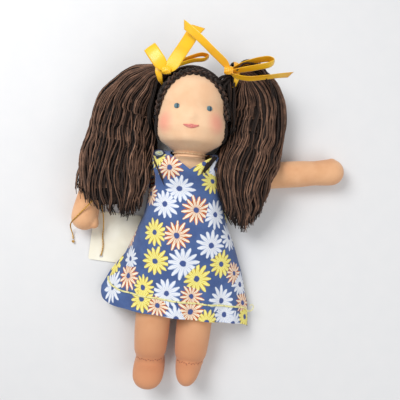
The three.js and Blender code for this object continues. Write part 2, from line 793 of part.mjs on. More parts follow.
function dressFrontSurface(u, v) {
  const { x, y, theta } = dressPlan(u, v);
  const skirt = smooth((-20 - y) / 70);
  const height = lerp(dressBodiceHeight, dressHemHeight, skirt);
  const power = lerp(0.72, 1.35, skirt);
  const folds = foldHeight * skirt * skirt * (1 - Math.cos(foldCount * 2 * theta)) * Math.sin(theta);
  const arch = Math.max(Math.sin(theta), 0) ** power;
  return vec(x, y, seamHeight(y) + (height * arch + folds) * fullness(y));
}

function dressBackSurface(u, v) {
  const { x, y, cosine } = dressPlan(u, v);
  const rise = smooth((Math.abs(cosine) - 0.45) / 0.55);
  const edge = seamHeight(y) - clothThickness - gap - 0.1;
  const full = fullness(y);
  return vec(x, y, edge * (1 - full * (1 - rise)));
}

const dressColumns = spread(20);
const dressRows = spread(11, (t) => 1 - (1 - t) ** 1.8);
const backColumns = spread(12);
const backRows = spread(8, (t) => 1 - (1 - t) ** 2);

function dressOpenings() {
  const neckShape = new THREE.Shape();
  neckShape.moveTo(vBottomX, vBottomY);
  neckShape.lineTo(vBottomX + vHalfWidth, dressTopY - 3);
  neckShape.lineTo(vBottomX + vHalfWidth, dressTopY + 12);
  neckShape.lineTo(vBottomX - vHalfWidth, dressTopY + 12);
  neckShape.lineTo(vBottomX - vHalfWidth, dressTopY - 3);
  neckShape.closePath();
  const vNeck = new THREE.ExtrudeGeometry(neckShape, { depth: 60, bevelEnabled: false });
  vNeck.translate(0, 0, dressShoulderZ + 1);
  let openings = toSolid(vNeck).add(neckThrough(neckHoleRadius, torsoTopY - 4));
  for (const side of [-1, 1]) {
    const from = vec(side * armholeX, shoulderPivotY - 1, shoulderPivotZ);
    const to = vec(side * 60, shoulderPivotY - 1, shoulderPivotZ);
    openings = openings.add(cylinderSolid(from, to, armholeRadius, 20));
  }
  return openings;
}

const dressFrontSolid = (thickness, low = 0) => (
  sheetSolid(dressFrontSurface, dressColumns, dressRows, thickness, low)
);
const dressBackSolid = (thickness, low = 0) => (
  sheetSolid(dressBackSurface, backColumns, backRows, thickness, low)
);

// The room that the dress takes with its clearance, and some of what lies under it.
const clothBacking = 2;
const seamReach = 33.4;
const shoulderSeamRoom = (side) => boxSolid(
  vec(Math.min(side * 28, side * seamReach), 30, dressShoulderZ - 3),
  vec(Math.max(side * 28, side * seamReach), dressTopY + gap, dressShoulderZ + 2.4),
);
const dressRoom = () => dressFrontSolid(clothBacking + clothThickness + gap, -clothBacking)
  .add(dressBackSolid(clothBacking + clothThickness + gap, -gap))
  .add(shoulderSeamRoom(-1))
  .add(shoulderSeamRoom(1));

function buildDress() {
  const openings = dressOpenings().add(torsoBody(gap)).add(headBody(gap));
  addPiece('dress_front', largest(dressFrontSolid(clothThickness).subtract(openings)), colours.dress);
  const back = dressBackSolid(clothThickness);
  const frontRoom = dressFrontSolid(clothThickness + 2 * gap, -gap);
  addPiece('dress_back', largest(cutFlat(back.subtract(openings).subtract(frontRoom))), colours.dress);
}

// A thread that lies on the cloth at one height above the hem.
function hemThreadPoints(surface, from, to, offset, wave) {
  const share = hemAllowance / (dressTopY - hemY(0.5));
  return spread(36, (t) => {
    const u = lerp(from, to, t);
    const point = surface(u, share);
    const du = surface(u + 1e-3, share).sub(surface(u - 1e-3, share));
    const dv = surface(u, share + 1e-3).sub(surface(u, share - 1e-3));
    const normal = vec(0, 0, 0).crossVectors(du, dv).normalize();
    return point.addScaledVector(normal, offset + wave * (1 + Math.sin(t * 90)));
  });
}

function buildHemStitches() {
  const frontLift = clothThickness + gap + frontHemThread / 2 + 0.2;
  const front = hemThreadPoints(dressFrontSurface, 0.08, 0.9, frontLift, 0.15);
  const end = front.at(-1).clone();
  const curl = [
    vec(3.2, -3, -2), vec(6.5, -2.4, -3), vec(8, 1, -2.6), vec(6.4, 3.4, -1.2), vec(3.8, 2.6, 0.4),
  ];
  for (const step of curl) front.push(end.clone().add(step));
  const thread = toSolid(cordGeometry(front, frontHemThread, 50, 5));
  const cloth = dressFrontSolid(clothThickness + 2 * gap, -gap);
  addPiece('hem_stitch_front', largest(thread.subtract(cloth)), colours.thread);
  const backLift = clothThickness + gap + hemThread / 2;
  const back = hemThreadPoints(dressBackSurface, 0.3, 0.7, backLift, 0);
  addPiece('hem_stitch_back', toSolid(cordGeometry(back, hemThread, 12, 5)), colours.thread);
}

// Button: a domed disc with a raised rim, sewn through two holes on the shoulder strap
function buildButton() {
  const profile = [
    [0, 0], [buttonRadius - 0.4, 0], [buttonRadius, 0.5], [buttonRadius, buttonThickness - 0.4],
    [buttonRadius - 0.5, buttonThickness], [buttonRadius - 1.2, buttonThickness],
    [buttonRadius - 1.9, buttonThickness - 0.7], [0, buttonThickness - 0.5],
  ].map(([r, h]) => new THREE.Vector2(r, h));
  const disc = new THREE.LatheGeometry(profile, 18);
  disc.rotateX(Math.PI / 2);
  let button = toSolid(disc);
  for (const side of [-1, 1]) {
    const hole = cylinderSolid(vec(side * 1.2, 0, -2), vec(side * 1.2, 0, 4), 0.55, 8);
    button = button.subtract(hole);
  }
  const bridge = [vec(-1.2, 0, 0.1), vec(-1.2, 0, 1.9), vec(0, 0, 2.3), vec(1.2, 0, 1.9), vec(1.2, 0, 0.1)];
  const thread = cordGeometry(bridge, 0.5, 10, 5);
  const place = new THREE.Matrix4().makeRotationX(-buttonTilt);
  const seatZ = dressTopSurfaceZ(buttonX, buttonY) + clothThickness + 0.6;
  place.setPosition(buttonX, buttonY + 1.2, seatZ);
  const strap = dressFrontSolid(clothThickness + 2 * gap, -gap);
  const placed = toSolid(toGeometry(button).applyMatrix4(place)).subtract(strap);
  addPiece('shoulder_button', placed, colours.button, { roughness: 0.4 });
  addPiece('button_thread', toSolid(thread.applyMatrix4(place)).subtract(strap), colours.thread);
}

// Height of the bodice at a place near the shoulder, found down its middle columns.
function dressTopSurfaceZ(x, y) {
  const u = between(spread(40).map((value) => [dressFrontSurface(value, 0.97).x, value]), x);
  const v = between(spread(60).map((value) => [dressFrontSurface(u, value).y, value]), y);
  return dressFrontSurface(u, v).z;
}

// Ribbon bows: a turn round each tie, a knot, loops and tails
function buildBow(side, bow) {
  const stations = side === 'left' ? ponytailLeft : ponytailRight;
  const obstacles = capOuter(gap)
    .add(stationBody(stations, hankSides, gap))
    .add(tieRing(stations, gap))
    .add(hairlineBraid(gap));
  let taken = obstacles;
  const place = (name, solid, roughness = 0.35) => {
    const cleared = largest(solid.subtract(taken));
    addPiece(`ribbon_${side}_${name}`, cleared, colours.ribbon, { roughness });
  };
  const knot = new THREE.SphereGeometry(1, 10, 6);
  knot.scale(5.2, 4.6, 3.6);
  knot.translate(...bow.knot.toArray());
  place('knot', toSolid(knot));
  const knotRoom = new THREE.SphereGeometry(1, 10, 6);
  knotRoom.scale(5.6, 5, 4);
  knotRoom.translate(...bow.knot.toArray());
  taken = taken.add(toSolid(knotRoom));
  for (const [name, strip] of Object.entries(bow.strips)) {
    place(name, ribbonSolid(strip));
    taken = taken.add(ribbonSolid(strip, gap));
  }
}

const bows = {
  right: {
    knot: vec(-23.5, 108.5, 57.5),
    strips: {
      loop_outer: {
        points: [
          vec(-26.5, 111, 58.8), vec(-31.5, 117, 59.6), vec(-36.5, 123.5, 58.2), vec(-40, 128, 55),
          vec(-37.5, 125, 51.6), vec(-32.5, 118.5, 52.2), vec(-27.5, 112.4, 54.2),
        ],
        broad: vec(0.77, 0.64, 0.05),
      },
      loop_inner: {
        points: [
          vec(-20.5, 111, 57.7), vec(-11, 118, 55.4), vec(-2, 123, 53.6), vec(6, 125.8, 52.5),
          vec(11.6, 124.2, 52.6), vec(8, 121, 53.7), vec(-1, 119.2, 54.6), vec(-10, 115.4, 56),
          vec(-20.5, 109.4, 57.9),
        ],
        broad: vec(0.05, 0.25, 0.95),
        width: 6,
      },
      tail_inner: {
        points: [
          vec(-20.5, 110.5, 59.4), vec(-14, 122, 58.5), vec(-8, 134, 55), vec(-2.5, 146, 51),
          vec(0.5, 151, 48),
        ],
        broad: vec(0.9, -0.4, 0.05),
      },
    },
  },
  left: {
    knot: vec(29.5, 112.5, 57.5),
    strips: {
      loop_outer: {
        points: [
          vec(32.5, 114, 57.3), vec(44, 119.8, 56.7), vec(56, 124, 56.6), vec(63.6, 125, 57.1),
          vec(67.6, 122.8, 58.2), vec(64.4, 119.8, 58.8), vec(56, 117.2, 58.8), vec(45, 114.4, 58.5),
          vec(32.5, 112, 57.9),
        ],
        broad: vec(-0.1, 0.3, 0.95),
        width: 8.5,
      },
      tail_inner: {
        points: [
          vec(26.4, 116.6, 60.4), vec(14, 126, 65), vec(1, 137, 65), vec(-9, 145.5, 61.4),
          vec(-11.5, 147.5, 60),
        ],
        broad: vec(0.4, 0.5, 0.7),
        width: 7.5,
      },
      tail_outer: {
        points: [
          vec(34.5, 108.4, 57.6), vec(46, 107, 56.5), vec(60, 110, 52.6), vec(74, 114, 47.4),
          vec(85, 117, 42.4),
        ],
        broad: vec(-0.1, 0.3, 0.95),
        width: 7,
      },
    },
  },
};

// Tag: a bare card under the hand, on a twisted cord tied round the wrist
const wristCentre = vec(-87.6, 1, rightArmZ);
const wristAlong = vec(-0.36, -0.93, 0).normalize();
const wristSide = vec(0.93, -0.36, 0).normalize();
const wristReach = armRadius + gap + wristSlack + cordDiameter / 2;
const knotAt = wristCentre.clone()
  .addScaledVector(wristSide, Math.cos(Math.PI / 4) * (wristReach + 1.6))
  .addScaledVector(UP, Math.sin(Math.PI / 4) * (wristReach + 1.6));

function wristCord(grow) {
  const points = spread(20, (t) => {
    const angle = lerp(Math.PI / 4 + 0.2, 2 * Math.PI + Math.PI / 4 - 0.2, t);
    return wristCentre.clone()
      .addScaledVector(wristSide, Math.cos(angle) * wristReach)
      .addScaledVector(UP, Math.sin(angle) * wristReach);
  });
  return toSolid(cordGeometry(points, cordDiameter + 2 * grow, 16, 8));
}

function buildWristCord() {
  addPiece('wrist_cord', wristCord(0), colours.cord);
  addPiece('wrist_knot', knotSolid(knotAt), colours.cord);
}

function knotSolid(at) {
  const knot = new THREE.SphereGeometry(knotRadius, 8, 6);
  knot.translate(...at.toArray());
  return toSolid(knot);
}

const knotRoomAt = (at) => {
  const room = new THREE.SphereGeometry(knotRadius + gap, 8, 6);
  room.translate(...at.toArray());
  return toSolid(room);
};

// Routes chosen by hand: the free tail falls over the hand, the long strand runs down to the card
const tailRoute = [
  vec(knotAt.x - 1, knotAt.y - 1.2, knotAt.z + 0.6),
  vec(-83.5, -8.5, 28.4), vec(-91, -17, 28.6), vec(-98.6, -25.5, 26.4),
  vec(-105.4, -32, 15), vec(-107.4, -37.5, 4.5), vec(-106, -43, 1.8), vec(-105.2, -47.6, 1.8),
];
const strandRoute = [
  vec(knotAt.x + 0.4, knotAt.y - 1.8, knotAt.z - 0.6),
  vec(-76.4, -13, 19.5), vec(-75.6, -24, 12.5), vec(-76, -33, 6.4),
  vec(-76.8, -42, 2.8), vec(-75.8, -52, 2.4), vec(-76.6, -59, 2.3), vec(-77, -61.4, 2.2),
];
const tailKnotAt = vec(-105, -49.8, knotRadius + 0.1);

function buildTag() {
  const arm = rightArmSolid(gap);
  const tube = (route) => toSolid(cordGeometry(route, cordDiameter, 20, 8));
  const free = (route) => tube(route).subtract(arm).subtract(knotRoomAt(knotAt));
  addPiece('tag_cord_tail', largest(free(tailRoute).subtract(knotRoomAt(tailKnotAt))), colours.cord);
  addPiece('tail_knot', knotSolid(tailKnotAt), colours.cord);
  addPiece('tag_cord', largest(free(strandRoute)), colours.cord);
  const shape = new THREE.Shape();
  shape.moveTo(0, 0);
  shape.lineTo(tagWidth, 0);
  shape.lineTo(tagWidth, tagHeight);
  shape.lineTo(0, tagHeight);
  shape.closePath();
  const card = new THREE.ExtrudeGeometry(shape, { depth: tagThickness, bevelEnabled: false });
  card.rotateZ(tagTurn);
  card.translate(tagCornerX, tagCornerY, tagLift);
  const hole = cylinderSolid(vec(tagHoleX, tagHoleY, -2), vec(tagHoleX, tagHoleY, 6), tagHoleRadius, 12);
  addPiece('tag_card', toSolid(card).subtract(hole), colours.card);
}

const cordRoom = (route) => toSolid(cordGeometry(route, cordDiameter + 2 * gap, 20, 8));

function buildPonytails() {
  const clear = capOuter(gap)
    .add(headBody(gap))
    .add(torsoBody(gap))
    .add(dressRoom())
    .add(hairlineBraid(gap));
  const nearby = {
    left: clear.add(leftArmSolid(gap)),
    right: clear
      .add(rightArmSolid(gap))
      .add(wristCord(gap))
      .add(knotRoomAt(knotAt))
      .add(cordRoom(tailRoute)),
  };
  for (const [side, stations] of [['left', ponytailLeft], ['right', ponytailRight]]) {
    const loose = cutFlat(stationBody(stations, hankSides, 0).subtract(nearby[side]));
    addPiece(`ponytail_${side}`, largest(loose), colours.hair, { roughness: 1 });
  }
}

buildTorso();
buildHead();
buildFace();
buildHair();
buildTie('hair_tie_left', ponytailLeft);
buildTie('hair_tie_right', ponytailRight);
buildPonytails();
buildBow('left', bows.left);
buildBow('right', bows.right);
buildArm('left', leftArmSolid, leftArmRoute, 1);
buildArm('right', rightArmSolid, rightArmRoute, -1);
buildLeg('left');
buildLeg('right');
buildHipSeam();
buildDress();
buildHemStitches();
buildButton();
buildWristCord();
buildTag();

export default part;
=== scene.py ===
"""Rag doll: the visual model. Shapes are worked out in millimetres and written in metres."""
import math
from itertools import chain

import bpy
import numpy as np
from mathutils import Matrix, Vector
from mathutils.bvhtree import BVHTree


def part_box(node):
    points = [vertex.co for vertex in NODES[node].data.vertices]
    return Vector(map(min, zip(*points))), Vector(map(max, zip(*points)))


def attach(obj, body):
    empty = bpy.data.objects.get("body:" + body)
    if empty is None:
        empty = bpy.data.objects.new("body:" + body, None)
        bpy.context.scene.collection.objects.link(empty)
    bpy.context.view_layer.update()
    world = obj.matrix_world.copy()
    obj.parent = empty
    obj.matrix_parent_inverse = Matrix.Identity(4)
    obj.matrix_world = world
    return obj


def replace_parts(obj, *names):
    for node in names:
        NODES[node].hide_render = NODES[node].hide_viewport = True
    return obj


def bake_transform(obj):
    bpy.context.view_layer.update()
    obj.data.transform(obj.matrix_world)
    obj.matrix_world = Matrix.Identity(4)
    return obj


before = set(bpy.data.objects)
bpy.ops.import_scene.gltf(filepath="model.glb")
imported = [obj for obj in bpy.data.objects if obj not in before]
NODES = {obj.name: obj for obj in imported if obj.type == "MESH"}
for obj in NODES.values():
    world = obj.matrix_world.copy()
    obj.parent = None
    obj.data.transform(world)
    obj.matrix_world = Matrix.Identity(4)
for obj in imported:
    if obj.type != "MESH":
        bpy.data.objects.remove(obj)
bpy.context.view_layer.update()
MM = 0.001
UP = np.array([0.0, 0.0, 1.0])
DOWN = Vector((0, 0, -1))
SIDES = ("left", "right")

# The same named values as the part's source, in millimetres
GAP = 0.3
NECK_X = 1.3
CHIN_Y = 42.0
HEAD_LENGTH = 74.5
HEAD_TILT_X = -2.2
ARCH_HALF_WIDTH = 30.5
ARCH_SIDE_Y = 72.0
ARCH_TOP_Y = 110.0
ARCH_X = 1.3
CAP_FRONT_Z = 42.0
NAPE_Y = 51.0
BRAID_RADIUS = 3.3
EYE_Y = 78.2
EYES_X = {"left": 15.7, "right": -12.0}
MOUTH = (1.5, 61.3)
ARM_RADIUS = 12.5
WRIST_RADIUS = 11.6
ROOT_RADIUS = 3.2
ARM_FLARE = 18.0
THUMB_RADIUS = 4.6
LEFT_ARM_Z = 12.0
RIGHT_ARM_Z = 14.85
SHOULDER = {"left": (36.8, 22.0, 24.0), "right": (-35.8, 22.0, 24.0)}
DRESS_TOP_Y = 42.0
CLOTH = 0.8
CORD_DIAMETER = 1.4
KNOT_RADIUS = 1.7

# Sizes of the visual model alone, in millimetres, and its counts
KNOT_CORD = 0.55
PLY_TURN = 3.4
CARD = 0.6
SATIN = 0.35
TIE_REACH = 10.1
WRAP_REACH = 11.4
WRAP_STEPS = 73
ARM_SIDES = 48
LEG_SIDES = 56
ANKLE_THREAD = 0.34
EYE_THREAD = 0.34
LIP_THREAD = 0.46
BUTTON_THREAD = 0.26
HEM_THREAD = 0.8
CAP_YARN = 1.05
CAP_DEPTH = 3.4
PLAIT_YARN = 0.95
EYE_HALF_WIDTH = 2.15
EYE_HALF_HEIGHT = 2.2
MOUTH_HALF_WIDTH = 6.2
BOW_KNOT = (3.9, 3.7, 3.2)
BUTTON_SIDES = 56
STRAND_SIDES = 5
LOCKS = 34
STEM_STEPS = 54

# The photograph's camera
CAMERA_X = 14.0
CAMERA_Z = 480.0
CAMERA_TURN = math.radians(4.63)
FOCAL_PIXELS = 494.6
PICTURE_MIDDLE = 200


# Small helpers for curves and surfaces
def ease(value):
    value = np.clip(value, 0.0, 1.0)
    return value * value * (3.0 - 2.0 * value)


def bell(value, middle, reach):
    """A smooth hump of height one."""
    return np.exp(-((value - middle) / reach) ** 2)


def unit(vectors):
    vectors = np.asarray(vectors, float)
    return vectors / np.maximum(np.linalg.norm(vectors, axis=-1, keepdims=True), 1e-9)


def hermite(keys, values, slopes, where):
    """Cubic curve through rows of values at rising keys."""
    found = np.clip(np.searchsorted(keys, where, side="right") - 1, 0, len(keys) - 2)
    span = (keys[found + 1] - keys[found])[:, None]
    t = ((where - keys[found])[:, None]) / span
    low = values[found] * (1 + 2 * t) * (1 - t) ** 2 + slopes[found] * span * t * (1 - t) ** 2
    high = values[found + 1] * t * t * (3 - 2 * t) + slopes[found + 1] * span * t * t * (t - 1)
    return low + high


def steady(keys, values, where):
    """Smooth curve through the values that never swings past them."""
    keys = np.asarray(keys, float)
    values = np.asarray(values, float).reshape(len(keys), -1)
    step = np.diff(keys)[:, None]
    rise = np.diff(values, axis=0) / step
    slopes = np.zeros_like(values)
    slopes[0] = rise[0]
    slopes[-1] = rise[-1]
    same = rise[:-1] * rise[1:] > 0
    first = 2 * step[1:] + step[:-1]
    second = step[1:] + 2 * step[:-1]
    safe = np.where(same, 1.0, 0.0)
    below = np.where(same, rise[:-1], 1.0)
    above = np.where(same, rise[1:], 1.0)
    slopes[1:-1] = safe * (first + second) / (first / below + second / above)
    return hermite(keys, values, slopes, np.asarray(where, float))


def distances(points):
    """How far along a line each of its points lies."""
    return np.concatenate([[0.0], np.cumsum(np.linalg.norm(np.diff(points, axis=0), axis=1))])


def sample(at, far, values):
    """Rows of values at the given distances."""
    return np.stack([np.interp(at, far, values[:, axis]) for axis in range(3)], axis=1)


def route(points, count):
    """Points at even distances along a smooth curve through the given points."""
    points = np.asarray(points, float)
    step = np.sqrt(np.linalg.norm(np.diff(points, axis=0), axis=1))
    keys = np.concatenate([[0.0], np.cumsum(step)])
    rise = np.diff(points, axis=0) / step[:, None]
    slopes = np.empty_like(points)
    slopes[0] = rise[0]
    slopes[-1] = rise[-1]
    before = step[:-1, None]
    after = step[1:, None]
    slopes[1:-1] = (rise[:-1] * after + rise[1:] * before) / (before + after)
    fine = hermite(keys, points, slopes, np.linspace(0, keys[-1], 40 * len(points)))
    far = distances(fine)
    at = np.linspace(0, far[-1], count)
    return sample(at, far, fine)


def add_object(name, data):
    made = bpy.data.objects.new(name, data)
    bpy.context.scene.collection.objects.link(made)
    return made


def add_mesh(name, points, faces, material, uvs=None):
    """A smooth-shaded mesh from points in millimetres; uvs has one pair for each point."""
    mesh = bpy.data.meshes.new(name)
    mesh.from_pydata((np.asarray(points) * MM).tolist(), [], faces)
    mesh.update()
    mesh.shade_smooth()
    if uvs is not None:
        layer = mesh.uv_layers.new(name="cloth")
        corners = np.zeros(len(mesh.loops), np.int32)
        mesh.loops.foreach_get("vertex_index", corners)
        layer.data.foreach_set("uv", np.asarray(uvs, np.float32)[corners].ravel())
    mesh.materials.append(material)
    return add_object(name, mesh)


def ring_faces(rings, sides, closed=True):
    """Quads between rings of points, and a cap on each end."""
    first = np.arange(rings - 1)[:, None] * sides
    base = first + np.arange(sides)[None, :]
    following = first + (np.arange(sides)[None, :] + 1) % sides
    quads = np.stack([base, base + sides, following + sides, following], axis=-1).reshape(-1, 4).tolist()
    if closed:
        quads.append(list(range(sides)))
        quads.append([(rings - 1) * sides + s for s in reversed(range(sides))])
    return quads


def grid_faces(rows, columns):
    """Quads between rows of points."""
    return [
        [r * columns + c, r * columns + c + 1, (r + 1) * columns + c + 1, (r + 1) * columns + c]
        for r in range(rows - 1) for c in range(columns - 1)
    ]


def axes_across(run, up=UP):
    """The sideways and high directions of a running direction."""
    across = unit(np.cross(run, up))
    return across, unit(np.cross(across, run))


LEAN = unit(np.array([0.31, 0.12, 0.94]))


def heading(points):
    return unit(np.gradient(points, axis=0))


def circle(count, closed=False):
    """Angles of a full turn."""
    return np.linspace(0, 2 * math.pi, count, endpoint=closed)


def rings_round(centres, axes, widths, heights, sides):
    across, high = axes
    angle = circle(sides)
    return (
        centres[:, None, :]
        + across[:, None, :] * np.cos(angle)[None, :, None] * np.asarray(widths)[:, None, None]
        + high[:, None, :] * np.sin(angle)[None, :, None] * np.asarray(heights)[:, None, None]
    )


def ellipse_rings(centres, widths, heights, sides, run=None):
    run = heading(centres) if run is None else np.broadcast_to(np.asarray(run, float), centres.shape)
    return rings_round(centres, axes_across(run), widths, heights, sides)


def tube(points, radii, sides=8):
    """Points and faces of a round tube along a route."""
    points = np.asarray(points, float)
    radii = np.broadcast_to(np.asarray(radii, float), (len(points),))
    rings = rings_round(points, axes_across(heading(points), LEAN), radii, radii, sides)
    return rings.reshape(-1, 3), ring_faces(len(points), sides)


class Bundle:
    """Collects many parts into one mesh."""

    def __init__(self):
        self.points = []
        self.faces = []
        self.uvs = []
        self.count = 0

    def add(self, points, faces, uvs=None):
        self.points.append(np.asarray(points, float))
        self.faces += [[index + self.count for index in face] for face in faces]
        self.uvs.append(np.zeros((len(points), 2)) if uvs is None else np.asarray(uvs, float))
        self.count += len(points)

    def add_rings(self, rings):
        self.add(rings.reshape(-1, 3), ring_faces(*rings.shape[:2]))

    def add_tube(self, points, radii, sides=8, tone=0.0):
        body, faces = tube(points, radii, sides)
        share = np.repeat(np.linspace(0, 1, len(points)), sides)
        self.add(body, faces, np.stack([np.full(len(body), tone), share], axis=1))

    def make(self, name, material):
        return add_mesh(name, np.concatenate(self.points), self.faces, material, np.concatenate(self.uvs))


def twisted(points, diameter):
    """Two plies wound round a route, as a bundle."""
    points = np.asarray(points, float)
    across, high = axes_across(heading(points), LEAN)
    far = distances(points)
    made = Bundle()
    ply = diameter / 4
    for index in range(2):
        angle = 2 * math.pi * (far / PLY_TURN + index / 2)
        line = points + (across * np.cos(angle)[:, None] + high * np.sin(angle)[:, None]) * ply
        made.add_tube(line, ply * 1.04, 6, index / 2)
    return made


def settle(made, cast):
    """Puts the outcome of an object's modifiers into its mesh and takes the modifiers and cutters away."""
    bpy.context.view_layer.update()
    graph = bpy.context.evaluated_depsgraph_get()
    mesh = bpy.data.meshes.new_from_object(made.evaluated_get(graph), depsgraph=graph)
    old = made.data
    made.modifiers.clear()
    made.data = mesh
    bpy.data.meshes.remove(old)
    for cutter in cast:
        spare = cutter.data
        bpy.data.objects.remove(cutter)
        bpy.data.meshes.remove(spare)
    return made


def thicken(made, thickness, offset=-1.0):
    """Gives a sheet its thickness in millimetres."""
    depth = made.modifiers.new("depth", "SOLIDIFY")
    depth.thickness = thickness * MM
    depth.offset = offset
    return settle(made, [])


def cut(made, cutters):
    for cutter in cutters:
        step = made.modifiers.new("cut", "BOOLEAN")
        step.operation = "DIFFERENCE"
        step.solver = "EXACT"
        step.object = cutter
    return settle(made, cutters)


def soften(made, voxel):
    """Joins crossing bodies of one piece into a single skin."""
    shell = made.modifiers.new("shell", "REMESH")
    shell.mode = "VOXEL"
    shell.voxel_size = voxel * MM
    shell.use_smooth_shade = True
    even = made.modifiers.new("even", "SMOOTH")
    even.factor = 0.5
    even.iterations = 5
    settle(made, [])
    made.data.shade_smooth()
    return made


def tree_of(made):
    points = [vertex.co / MM for vertex in made.data.vertices]
    return BVHTree.FromPolygons(points, [tuple(face.vertices) for face in made.data.polygons])


# Materials
class Paint:
    """A Principled material with short ways to add nodes."""

    def __init__(self, name, roughness=0.8):
        self.material = bpy.data.materials.new(name)
        self.material.use_nodes = True
        self.tree = self.material.node_tree
        self.shader = self.tree.nodes["Principled BSDF"]
        self.shader.inputs["Roughness"].default_value = roughness
        self.place = self.node("ShaderNodeTexCoord").outputs["Object"]
        self.bumps = None

    def put(self, socket, value):
        if isinstance(value, bpy.types.NodeSocket):
            self.tree.links.new(value, socket)
        elif isinstance(value, tuple) and len(value) == 3 and socket.type == "RGBA":
            socket.default_value = (*value, 1.0)
        else:
            socket.default_value = value

    def node(self, kind, inputs=None, **settings):
        made = self.tree.nodes.new(kind)
        for key, value in settings.items():
            setattr(made, key, value)
        for key, value in (inputs or {}).items():
            self.put(made.inputs[key], value)
        return made

    def math(self, operation, first, second=0.0, clamp=False):
        made = self.node("ShaderNodeMath", {0: first, 1: second}, operation=operation, use_clamp=clamp)
        return made.outputs[0]

    def vector(self, operation, first, second=(0.0, 0.0, 0.0)):
        made = self.node("ShaderNodeVectorMath", {0: first, 1: second}, operation=operation)
        return made.outputs["Value" if operation in ("DISTANCE", "LENGTH") else "Vector"]

    def mix(self, share, first, second):
        made = self.node("ShaderNodeMix", {0: share, 6: first, 7: second}, data_type="RGBA")
        return made.outputs[2]

    def fade(self, value, low, high):
        inputs = {"Value": value, "From Min": low, "From Max": high}
        return self.node("ShaderNodeMapRange", inputs, interpolation_type="SMOOTHSTEP").outputs["Result"]

    def noise(self, scale, detail=2.0, place=None, output="Fac"):
        inputs = {"Vector": place or self.place, "Scale": scale, "Detail": detail}
        return self.node("ShaderNodeTexNoise", inputs).outputs[output]

    def bands(self, scale, direction, distortion, place=None, detail=1.0):
        inputs = {"Vector": place or self.place, "Scale": scale, "Distortion": distortion, "Detail": detail}
        return self.node("ShaderNodeTexWave", inputs, bands_direction=direction).outputs["Fac"]

    def times(self, first, second):
        return self.math("MULTIPLY", first, second)

    def less(self, first, second):
        return self.math("SUBTRACT", first, second)

    def patches(self, first, second, scale, detail, low, high):
        """A mottled colour."""
        return self.mix(self.fade(self.noise(scale, detail), low, high), first, second)

    def dab(self, colour, where, share, tint):
        """Lays a share of another colour where a pattern is strong."""
        return self.mix(self.times(where, share), colour, tint)

    def bump(self, height, distance, strength=1.0):
        inputs = {"Height": height, "Distance": distance, "Strength": strength}
        if self.bumps is not None:
            inputs["Normal"] = self.bumps
        self.bumps = self.node("ShaderNodeBump", inputs).outputs["Normal"]
        self.put(self.shader.inputs["Normal"], self.bumps)

    def finish(self, colour, **sockets):
        self.put(self.shader.inputs["Base Color"], colour)
        for key, value in sockets.items():
            self.put(self.shader.inputs[key.replace("_", " ")], value)
        return self.material


def srgb(red, green, blue):
    """Linear colour of an 8-bit screen colour."""
    levels = (red / 255, green / 255, blue / 255)
    return tuple(((v + 0.055) / 1.055) ** 2.4 if v > 0.04 else v / 12.92 for v in levels)


def jersey(name, base, shade, spots=()):
    """Fine knitted cotton, with soft spots of another colour, used for blush and for painted shade and
    painted light: (place in mm, radius in mm, colour, share).
    """
    paint = Paint(name, 0.85)
    colour = paint.patches(base, shade, 55.0, 3.0, 0.3, 0.75)
    for place, radius, tint, share in spots:
        at = tuple(value * MM for value in place)
        far = paint.vector("DISTANCE", paint.place, at)
        colour = paint.dab(colour, paint.fade(far, radius * MM, radius * 0.15 * MM), share, tint)
    colour = paint.dab(colour, paint.fade(paint.noise(2600.0, 1.0), 0.55, 0.8), 0.22, shade)
    knit = paint.times(paint.bands(330.0, "X", 1.2), paint.bands(300.0, "Y", 1.2))
    paint.bump(knit, 0.00012, 0.55)
    paint.bump(paint.noise(1800.0, 2.0), 0.00015, 0.5)
    return paint.finish(colour, Sheen_Weight=0.25, Sheen_Roughness=0.5, Specular_IOR_Level=0.25)


def yarn(name, tones, roughness=0.75, gloss=0.3):
    """Fuzzy yarn whose brown follows each strand's own tone; tones are (share, colour)."""
    paint = Paint(name, roughness)
    strand = paint.node("ShaderNodeUVMap", uv_map="cloth").outputs["UV"]
    parts = paint.node("ShaderNodeSeparateXYZ", {0: strand})
    ramp = paint.node("ShaderNodeValToRGB", {"Fac": parts.outputs["X"]})
    stops = ramp.color_ramp.elements
    for stop, (share, tone) in zip(stops, (tones[0], tones[-1])):
        stop.position = share
        stop.color = (*tone, 1.0)
    for share, tone in tones[1:-1]:
        stops.new(share).color = (*tone, 1.0)
    patch = paint.fade(paint.noise(150.0, 2.0), 0.35, 0.7)
    dimmed = paint.mix(0.55, ramp.outputs["Color"], srgb(26, 18, 15))
    colour = paint.mix(patch, dimmed, ramp.outputs["Color"])
    fibre = paint.noise(2200.0, 3.0)
    colour = paint.dab(colour, paint.fade(fibre, 0.5, 0.8), 0.35, srgb(120, 92, 76))
    paint.bump(fibre, 0.0004, 0.8)
    return paint.finish(colour, Sheen_Weight=0.04, Specular_IOR_Level=gloss)


def thread(name, base, shade, scale=900.0, roughness=0.6):
    paint = Paint(name, roughness)
    twist = paint.bands(scale, "DIAGONAL", 2.0)
    colour = paint.patches(base, shade, 700.0, 2.0, 0.35, 0.7)
    paint.bump(twist, 0.0001, 0.7)
    return paint.finish(colour, Sheen_Weight=0.2)


def satin(name):
    paint = Paint(name, 0.3)
    fold_and_shade = paint.noise(38.0, 2.0)
    # Darker orange where the fold noise is high, the same noise that raises the folds: painted shade in the
    # folds
    colour = paint.mix(paint.fade(fold_and_shade, 0.3, 0.7), srgb(252, 198, 14), srgb(244, 168, 6))
    weave = paint.bands(900.0, "DIAGONAL", 0.4)
    # Lighter yellow along the weave lines: painted satin sheen
    colour = paint.dab(colour, weave, 0.18, srgb(255, 226, 84))
    paint.bump(fold_and_shade, 0.0015, 0.35)
    paint.bump(weave, 0.00005, 0.5)
    return paint.finish(colour, Sheen_Weight=0.5, Sheen_Roughness=0.25, Specular_IOR_Level=0.6)


